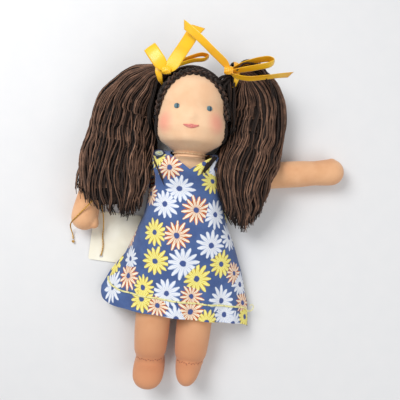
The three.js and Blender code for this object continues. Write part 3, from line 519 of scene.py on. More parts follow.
def wool(name):
    paint = Paint(name, 1.0)
    tuft = paint.noise(420.0, 5.0)
    paint.bump(tuft, 0.0012, 0.9)
    return paint.finish(paint.mix(tuft, srgb(226, 216, 198), srgb(246, 241, 230)), Sheen_Weight=0.3)


def paper(name):
    paint = Paint(name, 0.75)
    pulp = paint.noise(1500.0, 4.0)
    colour = paint.patches(srgb(250, 247, 232), srgb(242, 237, 218), 45.0, 2.0, 0.3, 0.7)
    colour = paint.dab(colour, paint.fade(pulp, 0.62, 0.8), 0.3, srgb(214, 204, 176))
    paint.bump(pulp, 0.00006, 0.6)
    return paint.finish(colour, Specular_IOR_Level=0.35)


def metal_thread(name):
    paint = Paint(name, 0.38)
    strands = paint.noise(1400.0, 2.0)
    colour = paint.mix(paint.fade(strands, 0.35, 0.7), srgb(232, 184, 84), srgb(156, 106, 36))
    paint.bump(strands, 0.0002, 0.8)
    return paint.finish(colour, Metallic=0.55)


# Camera, floor and light
def set_stage():
    data = bpy.data.cameras.new("camera")
    data.sensor_width = 36.0
    data.lens = 44.5
    camera = add_object("camera", data)
    camera.location = (CAMERA_X * MM, 0.0, CAMERA_Z * MM)
    camera.rotation_euler = (0.0, 0.0, CAMERA_TURN)
    bpy.context.scene.camera = camera
    bpy.context.scene.view_settings.view_transform = "Standard"

    paint = Paint("floor_paint", 0.9)
    grain = paint.noise(60.0, 3.0)
    pale = paint.finish(paint.mix(grain, srgb(226, 227, 229), srgb(231, 231, 232)), Specular_IOR_Level=0.2)
    corners = [(x * 3000, y * 3000, -0.3) for x, y in ((-1, -1), (1, -1), (1, 1), (-1, 1))]
    add_mesh("floor", corners, [[0, 1, 2, 3]], pale)

    world = bpy.data.worlds.new("studio")
    world.use_nodes = True
    sky = world.node_tree.nodes["Background"].inputs
    sky["Color"].default_value = (1.0, 1.0, 1.0, 1.0)
    sky["Strength"].default_value = 0.45
    bpy.context.scene.world = world

    for name, place, size, power in (
        ("key_light", (-0.42, 0.40, 0.75), 0.45, 6.2),
        ("fill_light", (0.6, -0.3, 0.7), 0.7, 2.5),
    ):
        lamp = bpy.data.lights.new(name, "AREA")
        lamp.size = size
        lamp.energy = power
        made = add_object(name, lamp)
        made.location = place
        made.rotation_euler = (-Vector(place)).to_track_quat("-Z", "Y").to_euler()


# Cord of the tag: the loop round the wrist, its knot, the strand to the card and the free tail
WRIST = np.array([-87.6, 1.0, RIGHT_ARM_Z])
WRIST_SIDE = unit(np.array([0.93, -0.36, 0.0]))
WRIST_REACH = ARM_RADIUS + GAP + 0.35 + CORD_DIAMETER / 2
KNOT = WRIST + (WRIST_SIDE + UP) * math.cos(math.pi / 4) * (WRIST_REACH + 1.6)
STRAND_ROUTE = [
    tuple(KNOT + (0.4, -1.8, -0.6)), (-76.4, -13, 19.5), (-75.6, -24, 12.5), (-76, -33, 6.4),
    (-76.8, -42, 2.8), (-75.8, -52, 2.4), (-76.6, -59, 2.3), (-77, -61.4, 2.2),
]
TAIL_ROUTE = [
    tuple(KNOT + (-1.0, -1.2, 0.6)), (-83.5, -8.5, 28.4), (-91, -17, 28.6), (-98.6, -25.5, 26.4),
    (-105.4, -32, 15), (-107.4, -37.5, 4.5), (-106, -43, 1.8), (-105.2, -47.6, 1.8),
]
TAIL_KNOT = np.array([-105.0, -49.8, KNOT_RADIUS + 0.1])


def knot_piece(name, at, material):
    """A small overhand knot: a cord wound through itself."""
    t = circle(60)
    loop = np.stack([
        np.sin(t) + 2 * np.sin(2 * t),
        np.cos(t) - 2 * np.cos(2 * t),
        -np.sin(3 * t) * 1.6,
    ], axis=1)
    line = at + loop / 3.6 * (KNOT_RADIUS - KNOT_CORD)
    made = Bundle()
    made.add_tube(np.concatenate([line, line[:2]]), KNOT_CORD, 8)
    return made.make(name, material)


def add_tag(gold, card_stock):
    strand = route(STRAND_ROUTE, 90)
    tail = route(TAIL_ROUTE, 90)
    angle = np.linspace(math.pi / 4 + 0.12, 2 * math.pi + math.pi / 4 - 0.12, 110)[:, None]
    loop = WRIST + WRIST_SIDE * np.cos(angle) * WRIST_REACH + UP * np.sin(angle) * WRIST_REACH
    wrist = twisted(loop, CORD_DIAMETER).make("wrist_cord_twisted", gold)
    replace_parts(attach(wrist, "arm_right"), "wrist_cord")
    knot = knot_piece("wrist_knot_tied", KNOT, gold)
    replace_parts(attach(knot, "arm_right"), "wrist_knot")
    end = knot_piece("tail_knot_tied", TAIL_KNOT, gold)
    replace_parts(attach(end, "arm_right"), "tail_knot")
    free = twisted(tail, CORD_DIAMETER).make("tag_cord_tail_twisted", gold)
    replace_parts(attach(free, "arm_right"), "tag_cord_tail")
    distances(tail)[-1] * MM
    card = add_card(card_stock)
    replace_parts(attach(card, "tag"), "tag_card")
    held = twisted(strand, CORD_DIAMETER).make("tag_cord_twisted", gold)
    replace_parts(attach(held, "tag"), "tag_cord")
    distances(strand)[-1] * MM


def add_card(card_stock):
    """The bare card: rounded corners, a punched hole and a faint curl."""
    width, height, turn = 46.0, 48.0, math.radians(-3)
    columns, rows = 46, 48
    corner = 2.2
    points = []
    for row in range(rows + 1):
        for column in range(columns + 1):
            x = width * column / columns
            y = height * row / rows
            inset_x = max(corner - x, x - (width - corner), 0.0)
            inset_y = max(corner - y, y - (height - corner), 0.0)
            far = math.hypot(inset_x, inset_y)
            if far > corner:
                x += (1 if x < width / 2 else -1) * inset_x * (1 - corner / far)
                y += (1 if y < height / 2 else -1) * inset_y * (1 - corner / far)
            curl = 0.35 * (y / height) ** 2 + 0.3 * ((x / width - 0.6) ** 2)
            place_x = x * math.cos(turn) - y * math.sin(turn) - 89.4
            place_y = x * math.sin(turn) + y * math.cos(turn) - 65.6
            points.append((place_x, place_y, 0.42 + curl))
    card = add_mesh("tag_card_curled", points, grid_faces(rows + 1, columns + 1), card_stock)
    thicken(card, CARD, 1.0)
    hole_points, hole_faces = tube([(-77, -61.6, z) for z in (-3, -1, 1, 3, 6)], 1.7, 20)
    cutter = add_mesh("hole_cutter", hole_points, hole_faces, card_stock)
    cut(card, [cutter])
    card.data.shade_flat()
    return card


# Body
def torso_rings():
    stations = np.array([
        (-61.3, 0.5, 20, 24, 1.5), (-52.3, 0.5, 20, 27.5, 9.7), (-41.3, 0.5, 21.6, 29.6, 18.8),
        (-22, 0.5, 22, 29, 19.6), (0, 0.5, 22, 28.4, 19.6), (20, 0.5, 22, 30, 19.6),
        (29, 0.5, 24, 26, 18.2), (34, 0.5, 26.5, 19.5, 16.1), (37, 0.5, 30, 15.3, 15.3),
    ], float)
    along = np.concatenate([[-61.3], np.linspace(-61.0, 36.9, 90), [37.0]])
    found = steady(stations[:, 0], stations[:, 1:], along)
    centres = np.stack([found[:, 0], along, found[:, 1]], axis=1)
    return ellipse_rings(centres, found[:, 2], found[:, 3], 72, (0, 1, 0))


HEAD_STATIONS = np.array([
    (37.4, 30, 14.5, 14.5), (41, 30, 13.9, 13.9), (45.35, 32, 19.5, 19), (50.2, 34.6, 26.8, 26.3),
    (56.16, 33.3, 30.8, 30.3), (62.86, 33.9, 32, 31.5), (71.8, 33.9, 31.1, 31.1), (79.25, 33.9, 30.5, 30.8),
    (88.19, 33.9, 30.6, 30.3), (98.62, 33.9, 27.8, 27.3), (106.8, 33.9, 21.4, 20.9),
    (112.8, 33.9, 13.2, 12.7), (115.76, 33.9, 5.4, 5.1), (116.4, 33.9, 0.6, 0.6),
], float)


def head_sections(along):
    """The middle x of the head at places along it, and its middle z and half sizes."""
    x = NECK_X + HEAD_TILT_X * ease((along - CHIN_Y) / HEAD_LENGTH)
    return x, steady(HEAD_STATIONS[:, 0], HEAD_STATIONS[:, 1:], along)


def head_rings(grow=0.0, rows=150, sides=128):
    share = np.linspace(0, 1, rows)
    first, last = HEAD_STATIONS[[0, -1], 0]
    along = first + (last - first) * (0.55 * share + 0.45 * (0.5 - 0.5 * np.cos(math.pi * share)))
    x, found = head_sections(along)
    centres = np.stack([x, along, found[:, 0]], axis=1)
    return ellipse_rings(centres, found[:, 1] + grow, found[:, 2] + grow, sides, (0, 1, 0))


# Forms of the face: x and how far it reaches across, y and how far it reaches along, and its height
FACE_FORMS = {
    "nose": (1.7, 3.6, 69.5, 3.2, 1.7),
    "bridge": (1.7, 3.0, 74.5, 5.0, 0.5),
    "left_socket": (EYES_X["left"], 4.0, EYE_Y, 3.6, -0.7),
    "right_socket": (EYES_X["right"], 4.0, EYE_Y, 3.6, -0.7),
    "lips": (MOUTH[0], 7.5, MOUTH[1], 2.4, -0.45),
    "left_cheek": (21, 9, 63, 9, 0.55),
    "right_cheek": (-20, 9, 63, 9, 0.55),
    "chin": (1.3, 8, 52.5, 4.5, 0.6),
}


def face_relief(points):
    """Presses the forms of the face, and a hollow across both eyes, into the front of the head."""
    x, y, z = points[..., 0], points[..., 1], points[..., 2]
    relief = -1.0 * bell(y, 77.5, 5.5)
    for at_x, wide, at_y, tall, height in FACE_FORMS.values():
        relief = relief + height * bell(x, at_x, wide) * bell(y, at_y, tall)
    moved = points.copy()
    moved[..., 2] += ease((z - 40) / 14) * relief
    return moved


def add_body(face_cloth, body_cloth, seam_thread):
    rings = torso_rings()
    rings[..., 2] += 0.35 * np.sin(rings[..., 0] * 1.9) * bell(rings[..., 1], -61, 6)
    body = add_mesh("torso_sewn", rings.reshape(-1, 3), ring_faces(*rings.shape[:2]), body_cloth)
    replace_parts(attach(body, "torso"), "torso_skin")

    rings = head_rings()
    gather = np.arctan2(rings[..., 2] - 30, rings[..., 0] - NECK_X)
    rings[..., 2] += 0.35 * np.sin(gather * 26) * bell(rings[..., 1], 43.5, 2.6)
    rings = face_relief(rings)
    head = add_mesh("head_sewn", rings.reshape(-1, 3), ring_faces(*rings.shape[:2]), face_cloth)
    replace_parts(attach(head, "head"), "head_skin")

    turn = np.linspace(0, 2 * math.pi * 2.96, 220)
    reach = 14.5 + GAP + 0.6
    wound = np.stack([
        NECK_X + np.cos(turn) * reach,
        CHIN_Y - 1.6 + 0.35 * np.sin(turn / 3),
        30 + np.sin(turn) * reach,
    ], axis=1)
    tie = Bundle()
    tie.add_tube(wound, 0.36, 6)
    neck = tie.make("neck_tie_wound", seam_thread)
    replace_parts(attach(neck, "head"), "neck_tie")
    return head


def arm_profile(distance, total):
    flare = ROOT_RADIUS + (ARM_RADIUS - ROOT_RADIUS) * ease(distance / ARM_FLARE)
    wrist = (ARM_RADIUS - WRIST_RADIUS) * bell(distance, total - 28, 9)
    into = np.clip((distance - (total - ARM_RADIUS)) / ARM_RADIUS, 0, 1)
    closing = np.sqrt(np.maximum(1 - into * into, 0.0004))
    root = np.sqrt(np.maximum(ROOT_RADIUS**2 - np.minimum(distance, 0) ** 2, 0.01))
    return np.where(distance < 0, root, (flare - wrist) * closing)


def limb(points, start=-3.0, rows=110):
    """Stations of a limb: their middles, their distances, and the whole length."""
    line = route(points, 400)
    far = distances(line)
    total = far[-1]
    share = np.linspace(0, 1, rows)
    distance = start + (total - start) * (share + 0.12 * np.sin(math.pi * 2 * share) / 2)
    tip = total - 6 * np.cos(np.linspace(0, math.pi / 2, 14))
    distance = np.concatenate([distance[distance < total - 6], tip])
    distance = np.sort(np.clip(distance, start, total - 0.03))
    centres = sample(distance, far, line)
    first = unit(line[1] - line[0])
    centres += np.minimum(distance, 0)[:, None] * first
    return centres, distance, total


ARM_ROUTES = {
    "left": [
        SHOULDER["left"], (62, 26, LEFT_ARM_Z + 4), (82.5, 29, LEFT_ARM_Z),
        (110, 32.6, LEFT_ARM_Z), (132, 35.6, LEFT_ARM_Z), (147, 38.4, LEFT_ARM_Z),
    ],
    "right": [
        SHOULDER["right"], (-53, 23.5, RIGHT_ARM_Z + 5), (-69, 20.5, RIGHT_ARM_Z + 1),
        (-82.5, 10, RIGHT_ARM_Z), (-89.5, -6, RIGHT_ARM_Z), (-92.5, -22, RIGHT_ARM_Z),
        (-92.6, -37, RIGHT_ARM_Z),
    ],
}
THUMBS = {
    "left": [(124, 38, LEFT_ARM_Z + 1), (134, 44.2, LEFT_ARM_Z + 1), (139.4, 45.8, LEFT_ARM_Z + 1)],
    "right": [(-87.5, -16, RIGHT_ARM_Z + 2), (-83.6, -28, RIGHT_ARM_Z + 2), (-83.2, -35, RIGHT_ARM_Z + 2)],
}


def add_arm(side, body_cloth):
    centres, distance, total = limb(ARM_ROUTES[side])
    radii = arm_profile(distance, total)
    rings = ellipse_rings(centres, radii, radii, ARM_SIDES)
    angle = circle(ARM_SIDES)[None, :]
    gathers = 0.09 * np.sin(angle * 11) * bell(distance, 5, 7)[:, None]
    if side == "right":
        bend = bell(distance, 47, 5.0)[:, None] * bell(angle, 1.1, 1.2)
        gathers = gathers - 0.07 * bend * (1 + np.sin(distance * 2.1))[:, None]
    rings = centres[:, None, :] + (rings - centres[:, None, :]) * (1 + gathers[..., None])
    made = Bundle()
    made.add_rings(rings)
    thumb, reach, whole = limb(THUMBS[side], start=0.0, rows=30)
    size = THUMB_RADIUS * np.sqrt(np.maximum(1 - np.clip((reach - whole + 4.6) / 4.6, 0, 1) ** 2, 0.0004))
    made.add_rings(ellipse_rings(thumb, size, size, 20))
    arm = soften(made.make(f"arm_{side}_sewn", body_cloth), 0.9)
    lift_flat(arm)
    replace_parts(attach(arm, f"arm_{side}"), f"arm_{side}_skin")
    return arm


def lift_flat(made):
    """Flattens what lies on the table."""
    for vertex in made.data.vertices:
        vertex.co.z = max(vertex.co.z, 0.0)


LEGS = {
    "left": {"hip": 19.6, "ankle": 16.2, "foot": 17.4, "toe": 13.6, "toe_y": -172.2, "taper": 0.66},
    "right": {"hip": -20.2, "ankle": -21.4, "foot": -21.2, "toe": -21.0, "toe_y": -177.7, "taper": 1.0},
}
LEG_TOP_Y = -63.9
LEG_END_Y = -155.0


def leg_rings(size):
    run = LEG_TOP_Y - LEG_END_Y
    stations = np.array([
        (0, 20, 4, 1.0), (2.3, 19.9, 9, 2.5), (5, 19.6, 13, 5.1), (10, 19.1, 15.2, 9.7),
        (18, 18.5, 16.2, 15.2), (36, 18.5, 16.5, 15.6), (58, 18.1, 16.2, 15.4), (76, 16.9, 15.2, 14.4),
        (run - 6, 14.9, 14, 13.2), (run - 1.5, 14.5, 12.4, 11.8), (run, 14.5, 9.8, 9.2),
    ], float)
    down = np.linspace(0, run, 90)
    found = steady(stations[:, 0], stations[:, 1:], down)
    x = size["hip"] + (size["ankle"] - size["hip"]) * down / run
    centres = np.stack([x, LEG_TOP_Y - down, found[:, 0]], axis=1)
    crease = bell(down, run - 6, 2.6)
    return ellipse_rings(centres, found[:, 1] - crease, found[:, 2] - crease, LEG_SIDES, (0, -1, 0))


def foot_rings(size):
    rise = math.radians(58)
    length, half_width, half_depth = 43.0, 14.6, 10.5
    heel_y = size["toe_y"] + half_depth * math.sin(rise) + math.cos(rise) * (length - 6)
    heel = np.array([size["foot"], heel_y, -1.0])
    aim = np.array([size["toe"] - size["foot"], -math.cos(rise) * length, math.sin(rise) * length])
    aim *= length / np.linalg.norm(aim)
    shares = np.array([
        (0, 0.34), (0.06, 0.72), (0.2, 0.95), (0.5, 1), (0.72, 0.95), (0.88, 0.76), (0.97, 0.44), (1, 0.16),
    ])
    at = np.linspace(0, 1, 60)
    at = 0.5 * at + 0.5 * (0.5 - 0.5 * np.cos(math.pi * at))
    full = steady(shares[:, 0], shares[:, 1], at)[:, 0]
    broad = half_width * full * (1 + (size["taper"] - 1) * at)
    deep = np.where(at < 0.3, full * 1.12, full * (1.12 - 0.12 * ease((at - 0.2) / 0.2)))
    centres = heel + at[:, None] * aim
    run = np.broadcast_to(unit(aim), centres.shape)
    axes = axes_across(run, np.array([0, math.sin(rise), math.cos(rise)]))
    return rings_round(centres, axes, broad, half_depth * deep, LEG_SIDES)


def add_leg(side, body_cloth, limb_thread):
    size = LEGS[side]
    made = Bundle()
    made.add_rings(leg_rings(size))
    made.add_rings(foot_rings(size))
    leg = soften(made.make(f"leg_{side}_sewn", body_cloth), 1.0)
    lift_flat(leg)
    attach(leg, f"leg_{side}")
    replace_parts(leg, f"leg_{side}_skin", f"foot_{side}_skin")
    skin = tree_of(leg)
    stitches = Bundle()
    level = LEG_END_Y + 5.0
    for index in range(13):
        angle = math.pi * (0.16 + 0.68 * index / 12)
        slope = 0.5 * math.sin(index * 2.3)
        line = []
        for step in np.linspace(-0.016, 0.016, 7):
            turn = angle + step * math.pi
            aim = Vector((-math.cos(turn), 0.0, math.sin(turn)))
            start = Vector((size["ankle"], level + slope + step * 40 * math.cos(index * 1.9), 14.8))
            hit, normal, _, _ = skin.ray_cast(start + aim * 60, -aim)
            lift = 0.3 * math.cos(step / 0.016 * math.pi / 2) - 0.1
            line.append(np.array(hit + normal * lift))
        stitches.add_tube(route(line, 9), ANKLE_THREAD, 6)
    sewn = stitches.make(f"ankle_{side}_stitches", limb_thread)
    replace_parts(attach(sewn, f"leg_{side}"), f"ankle_{side}_stitch")


# Face
def add_face(head, threads):
    """Satin-stitched eyes and mouth that lie on the head."""
    skin = tree_of(head)

    def on_skin(x, y, lift):
        hit, normal, _, _ = skin.ray_cast(Vector((x, y, 120.0)), DOWN)
        return np.array(hit + normal * lift)

    for side, x in EYES_X.items():
        made = Bundle()
        dark = Bundle()
        for index in range(9):
            share = -1 + 2 * (index + 0.5) / 9
            tall = EYE_HALF_HEIGHT * math.sqrt(1 - share * share * 0.92)
            at = x + share * EYE_HALF_WIDTH
            line = [
                on_skin(at, EYE_Y + tall * v, 0.12 + 0.32 * math.sqrt(1 - v * v * 0.98))
                for v in np.linspace(-1, 1, 9)
            ]
            (dark if index in (5, 6) else made).add_tube(np.array(line), EYE_THREAD, 6)
        iris = made.make(f"eye_{side}_stitched", threads["eye_thread"])
        pupil = dark.make(f"eye_{side}_pupil", threads["eye_dark"])
        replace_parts(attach(iris, "head"), f"eye_{side}")
        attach(pupil, "head")

    lips = Bundle()
    for index in range(17):
        share = -1 + 2 * (index + 0.5) / 17
        x = MOUTH[0] + share * MOUTH_HALF_WIDTH
        full = 1 - share**2
        dip = 0.82 + 0.18 * math.cos(share * math.pi * 2)
        top = MOUTH[1] + 0.5 + 1.35 * full * dip + 0.5 * share**2
        low = MOUTH[1] + 0.5 - 2.0 * full**1.2 + 0.25 * share**2
        line = [
            on_skin(x, low + (top - low) * v, 0.1 + 0.3 * math.sin(math.pi * v))
            for v in np.linspace(0, 1, 8)
        ]
        lips.add_tube(np.array(line), LIP_THREAD, 6)
    middle = []
    for share in np.linspace(-1, 1, 24):
        x = MOUTH[0] + share * (MOUTH_HALF_WIDTH + 0.3)
        middle.append(on_skin(x, MOUTH[1] + 0.55 + 0.35 * share**2 - 0.25 * math.cos(share * 4), 0.5))
    parting = Bundle()
    parting.add_tube(np.array(middle), 0.3, 6)
    mouth = lips.make("mouth_stitched", threads["mouth_thread"])
    line = parting.make("mouth_line", threads["lip_line"])
    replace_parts(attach(mouth, "head"), "mouth")
    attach(line, "head")


# Hair
HEAD_MIDDLE = np.array([0.3, 79.0, 33.9])
ARCH_SHAPE = ARCH_HALF_WIDTH / (ARCH_TOP_Y - ARCH_SIDE_Y)


def head_point(skin, aim, lift):
    aim = Vector(unit(aim))
    start = Vector(HEAD_MIDDLE)
    hit, normal, _, _ = skin.ray_cast(start + aim * 120, -aim)
    return np.array(hit + normal * lift)


def hairline_route(skin, count):
    """The arch over the face, from cheek to cheek, on the head."""
    line = []
    for angle in np.linspace(0, math.pi, count):
        x = ARCH_X - math.cos(angle) * ARCH_HALF_WIDTH
        y = ARCH_SIDE_Y + math.sin(angle) * (ARCH_TOP_Y - ARCH_SIDE_Y)
        hit, _, _, _ = skin.ray_cast(Vector((x, y, 140.0)), DOWN)
        level = hit.z if hit is not None else 0.0
        line.append((x, y, max(level, CAP_FRONT_Z) + BRAID_RADIUS * 0.62))
    return route(line, count)


def add_cap(skin, hair):
    """A knitted wig cap covered by yarn laid from the parting to each tie."""
    rings = head_rings(grow=GAP + 1.0, rows=110, sides=110)
    points = rings.reshape(-1, 3)
    keep = []
    for face in ring_faces(*rings.shape[:2], closed=False):
        x, y, z = points[face].mean(axis=0)
        inside = ARCH_HALF_WIDTH**2 > (x - ARCH_X) ** 2 + (max(y - ARCH_SIDE_Y, 0) * ARCH_SHAPE) ** 2
        if y > NAPE_Y + 0.6 and not (z > CAP_FRONT_Z and inside):
            keep.append(face)
    cap = add_mesh("hair_cap_base", points, keep, hair, np.tile([0.12, 0.5], (len(points), 1)))
    thicken(cap, 0.9)
    lift_flat(cap)
    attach(cap, "head")

    chance = np.random.default_rng(7)
    strands = Bundle()
    for sign, end in ((-1, TAILS["right"][1][:3]), (1, TAILS["left"][1][:3])):
        goal = unit(np.array(end) - HEAD_MIDDLE)
        for index in range(74):
            share = index / 73
            turn = -0.42 + 2.75 * share
            start = np.array([0.0, math.cos(turn), -math.sin(turn)])
            spread = unit(goal + chance.normal(0, 0.05, 3))
            line = []
            for step in np.linspace(0, 1, 22):
                bow = math.sin(math.pi * step) * 0.28 * (share - 0.25)
                aside = np.array([sign * 0.55, 0.1 - share * 0.35, 0]) * bow
                aim = unit(start * (1 - step) + spread * step + aside)
                lift = 2.5 + 0.25 * math.sin(step * 40 + index * 2.4)
                line.append(head_point(skin, aim, lift))
            line = np.array(line)
            line[:, 2] = np.maximum(line[:, 2], 0.9)
            outside = ~inside_face(line)
            last = len(line) if outside.all() else int(np.argmin(outside))
            if last > 5:
                strands.add_tube(line[:last], CAP_YARN, 6, chance.uniform(0, 0.75))
    laid = strands.make("hair_cap_yarn", hair)
    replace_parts(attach(laid, "head"), "hair_cap")


def inside_face(line):
    x, y, z = line[:, 0], line[:, 1], line[:, 2]
    reach = ARCH_HALF_WIDTH - 2.5
    near = (x - ARCH_X) ** 2 + (np.maximum(y - ARCH_SIDE_Y, 0) * ARCH_SHAPE) ** 2 < reach**2
    return near & (z > CAP_FRONT_Z + 2)


PLAIT_TONES = (0.05, 0.3, 0.72)


def add_hairline(skin, glossy):
    """The plaited edge of the hair round the face."""
    line = hairline_route(skin, 260)
    run = heading(line)
    outward = unit(line - (HEAD_MIDDLE + (0, -8, 0)))
    high = unit(outward - run * (outward * run).sum(axis=1, keepdims=True))
    across = unit(np.cross(run, high))
    far = distances(line)
    made = Bundle()
    for index in range(3):
        phase = 2 * math.pi * (far / 17.0 + index / 3)
        side = np.sin(phase) * 2.6
        lift = np.sin(2 * phase) * 1.5 + 0.2
        for ply in range(3):
            turn = 2 * math.pi * (far / 6.5 + ply / 3)
            offset_side = side + np.cos(turn) * 0.8
            offset_lift = lift + np.sin(turn) * 0.8
            strand = line + across * offset_side[:, None] + high * offset_lift[:, None]
            made.add_tube(strand, PLAIT_YARN, 6, PLAIT_TONES[(index + ply) % 3])
    band = made.make("hairline_plait", glossy)
    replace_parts(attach(band, "head"), "hairline_braid")


# Stations of each ponytail: x, y, z, half width, half height
TAILS = {
    "right": np.array([
        (-25, 110.5, 44, 6.5, 6.5), (-34, 109, 42, 8.5, 9), (-43.5, 103, 34, 18, 15),
        (-54.5, 92, 24, 23.5, 20), (-62, 78, 18, 29, 19), (-64, 60, 17.5, 31.5, 18.5), (-65, 42, 23, 32, 18),
        (-66, 22, 34, 32.5, 13), (-66.5, 5, 35, 31.5, 9.5), (-65, -9, 31, 29.5, 7.5), (-62, -27, 24, 26, 5),
    ]),
    "left": np.array([
        (31, 112, 44, 6.5, 6.5), (40, 112.5, 42, 9, 9), (48, 107.5, 34, 20, 15), (56.5, 96, 24, 25.5, 20),
        (61, 79, 18.5, 27.5, 19), (60, 62, 18, 28, 18.5), (56, 44, 24, 28, 18), (52, 26, 35, 26, 14),
        (51.5, 8, 33, 23, 12), (54, -8, 26, 20, 9), (57, -31, 18, 15, 5),
    ]),
}
# The ragged lower edge of each ponytail: x and y
TAIL_ENDS = {
    "right": np.array([(-99, -1), (-88, -9), (-72, -17), (-51, -22), (-40, -13), (-34, 6)], float),
    "left": np.array([(28, 10), (36, -6), (45, -19), (57, -27), (69, -11), (75, 6)], float),
}
# Loose locks: places above the doll, number of strands, how far they spread, and their tones
LOOSE_LOCKS = {
    "right": [
        ([(-38, 62, 36), (-37, 50, 38), (-32, 37, 40), (-24, 22, 40), (-17, 8, 40)], 3, 0.5, (0.5, 0.9)),
        ([(-36, 58, 36), (-33, 48, 38), (-33, 36, 38), (-36, 24, 38)], 4, 1.2, (0.3, 0.9)),
        ([(-29, 107, 46), (-33, 95, 42), (-36, 80, 38), (-36.5, 64, 34), (-33, 50, 32), (-30, 42, 34)],
         26, 1.9, (0.0, 0.4)),
    ],
    "left": [
        ([(37, 66, 36), (33, 56, 38), (27, 44, 40), (19, 31, 42), (13, 20, 42)], 14, 2.4, (0.0, 0.35)),
        ([(39, 60, 36), (34, 48, 38), (28, 36, 42), (23, 26, 42)], 8, 2.2, (0.1, 0.8)),
        ([(34, 108, 46), (35, 98, 42), (36.5, 86, 38), (38, 72, 34), (37, 60, 32), (33, 48, 34)],
         26, 1.9, (0.0, 0.75)),
        ([
            (36, 113, 49), (41, 120.5, 51), (49, 123.2, 49), (58, 120.5, 45), (66, 112, 40), (72, 97, 34),
            (74, 80, 28),
        ], 26, 1.6, (0.2, 0.95)),
        ([
            (36, 112, 49), (41, 119, 51), (49, 121.4, 49), (58, 118.5, 44), (66, 110, 39), (72, 95, 34),
            (74, 80, 28),
        ], 36, 2.0, (0.1, 0.95)),
        ([(37, 111, 49), (42, 117, 51), (50, 119, 49), (59, 115.5, 45), (67, 105, 39)],
         30, 2.2, (0.0, 0.95)),
        ([(19, 106, 43), (25, 109.5, 45.5), (31, 111.5, 47.5), (36, 112, 47)], 14, 1.5, (0.0, 0.4)),
        ([(23, 103, 42), (27.5, 106.5, 44.5), (32, 109.5, 46.5), (36, 112, 46)], 22, 1.8, (0.0, 0.4)),
        ([(26, 98, 40), (28.5, 102.5, 43), (31.5, 107, 45.5), (36, 111, 46)], 22, 1.8, (0.0, 0.4)),
        ([(28.5, 92, 37), (30, 97.5, 40), (32, 103, 43.5), (36, 109, 46)], 20, 1.6, (0.0, 0.5)),
        ([(31, 112, 49), (31, 104, 46), (32, 95, 43), (34, 84, 40), (36, 70, 36)], 22, 1.4, (0.0, 0.55)),
    ],
}


def top_of(trees, x, y):
    """Highest surface under a place, of the pieces that the hair lies on."""
    best = 0.0
    for skin in trees:
        hit, _, _, _ = skin.ray_cast(Vector((x, y, 160.0)), DOWN)
        if hit is not None:
            best = max(best, hit.z)
    return best


def blur(values, rounds):
    for _ in range(rounds):
        padded = np.concatenate([values[:1], values, values[-1:]])
        values = (padded[:-2] + 2 * padded[1:-1] + padded[2:]) / 4
    return values


def tail_strands(side, under, chance, total):
    """Strands gathered into locks, fanning out from the tie to a ragged edge."""
    stations = TAILS[side]
    ends = TAIL_ENDS[side]
    keys = distances(stations[:, :3])
    where = np.linspace(0, keys[-1], STEM_STEPS)
    spine = steady(keys, stations, where)
    across, high = axes_across(heading(spine[:, :3]))
    share = where / keys[-1]
    lock_angle = (np.arange(LOCKS) + chance.uniform(0.1, 0.9, LOCKS)) * 2 * math.pi / LOCKS
    lock_phase = chance.uniform(0, 2 * math.pi, LOCKS)
    lock_beat = chance.uniform(32, 60, LOCKS)
    for index in range(total):
        lock = index % LOCKS
        pale = chance.uniform() < 0.3
        size = chance.uniform(0.42, 0.58) if pale else chance.uniform(0.55, 0.85)
        depth = chance.uniform(0.97, 1.01) if pale else math.sqrt(chance.uniform(0.35, 1.0)) * 0.98
        angle = lock_angle[lock] + chance.normal(0, 0.17) * (1 - 0.62 * share)
        angle = angle + 0.05 * np.sin(share * chance.uniform(4, 9) + lock_phase[lock])
        offset_x = np.cos(angle) * depth
        offset_z = np.sin(angle) * depth
        line = spine[:, :3] + across * (offset_x * (spine[:, 3] - size))[:, None]
        line = line + high * (offset_z * (spine[:, 4] - size))[:, None]
        sway = np.sin(where / lock_beat[lock] * 2 * math.pi + lock_phase[lock]) * 2.3 * share
        crimp = chance.uniform(0.1, 0.38) * (0.25 + share) * np.minimum(share * 6, 1.0)
        beat = chance.uniform(9.0, 15.0)
        phase = chance.uniform(0, 2 * math.pi)
        line += across * (sway + np.sin(where / beat * 2 * math.pi + phase) * crimp)[:, None]
        line += high * (np.cos(where / beat * 5.1 + phase * 1.7) * crimp)[:, None]
        edge = np.interp(line[:, 0], ends[:, 0], ends[:, 1]) + chance.uniform(-3.0, 7.0)
        past = (line[:, 1] < edge) & (share > 0.6)
        last = int(np.argmax(past)) if past.any() else STEM_STEPS
        line = line[:last]
        level = (offset_z[:last] + 1) / 2
        floor = np.array([top_of(under, x, y) for x, y in line[::3, :2]])
        floor = np.interp(np.arange(last), np.arange(0, last, 3), floor)
        top = spine[:last, 2] + spine[:last, 4]
        low = spine[:last, 2] - spine[:last, 4]
        need = floor + size + 0.4
        raised = np.where(need > low, need + level * np.maximum(top - need, 0.5), line[:, 2])
        line[:, 2] = blur(np.maximum(raised, size + 0.1), 5)
        line = clear_of_head(line, size)
        line[:, 2] = np.maximum(line[:, 2], size + 0.05)
        tone = chance.uniform(0.72, 1.0) if pale else chance.uniform(0, 0.6)
        yield line, size, tone


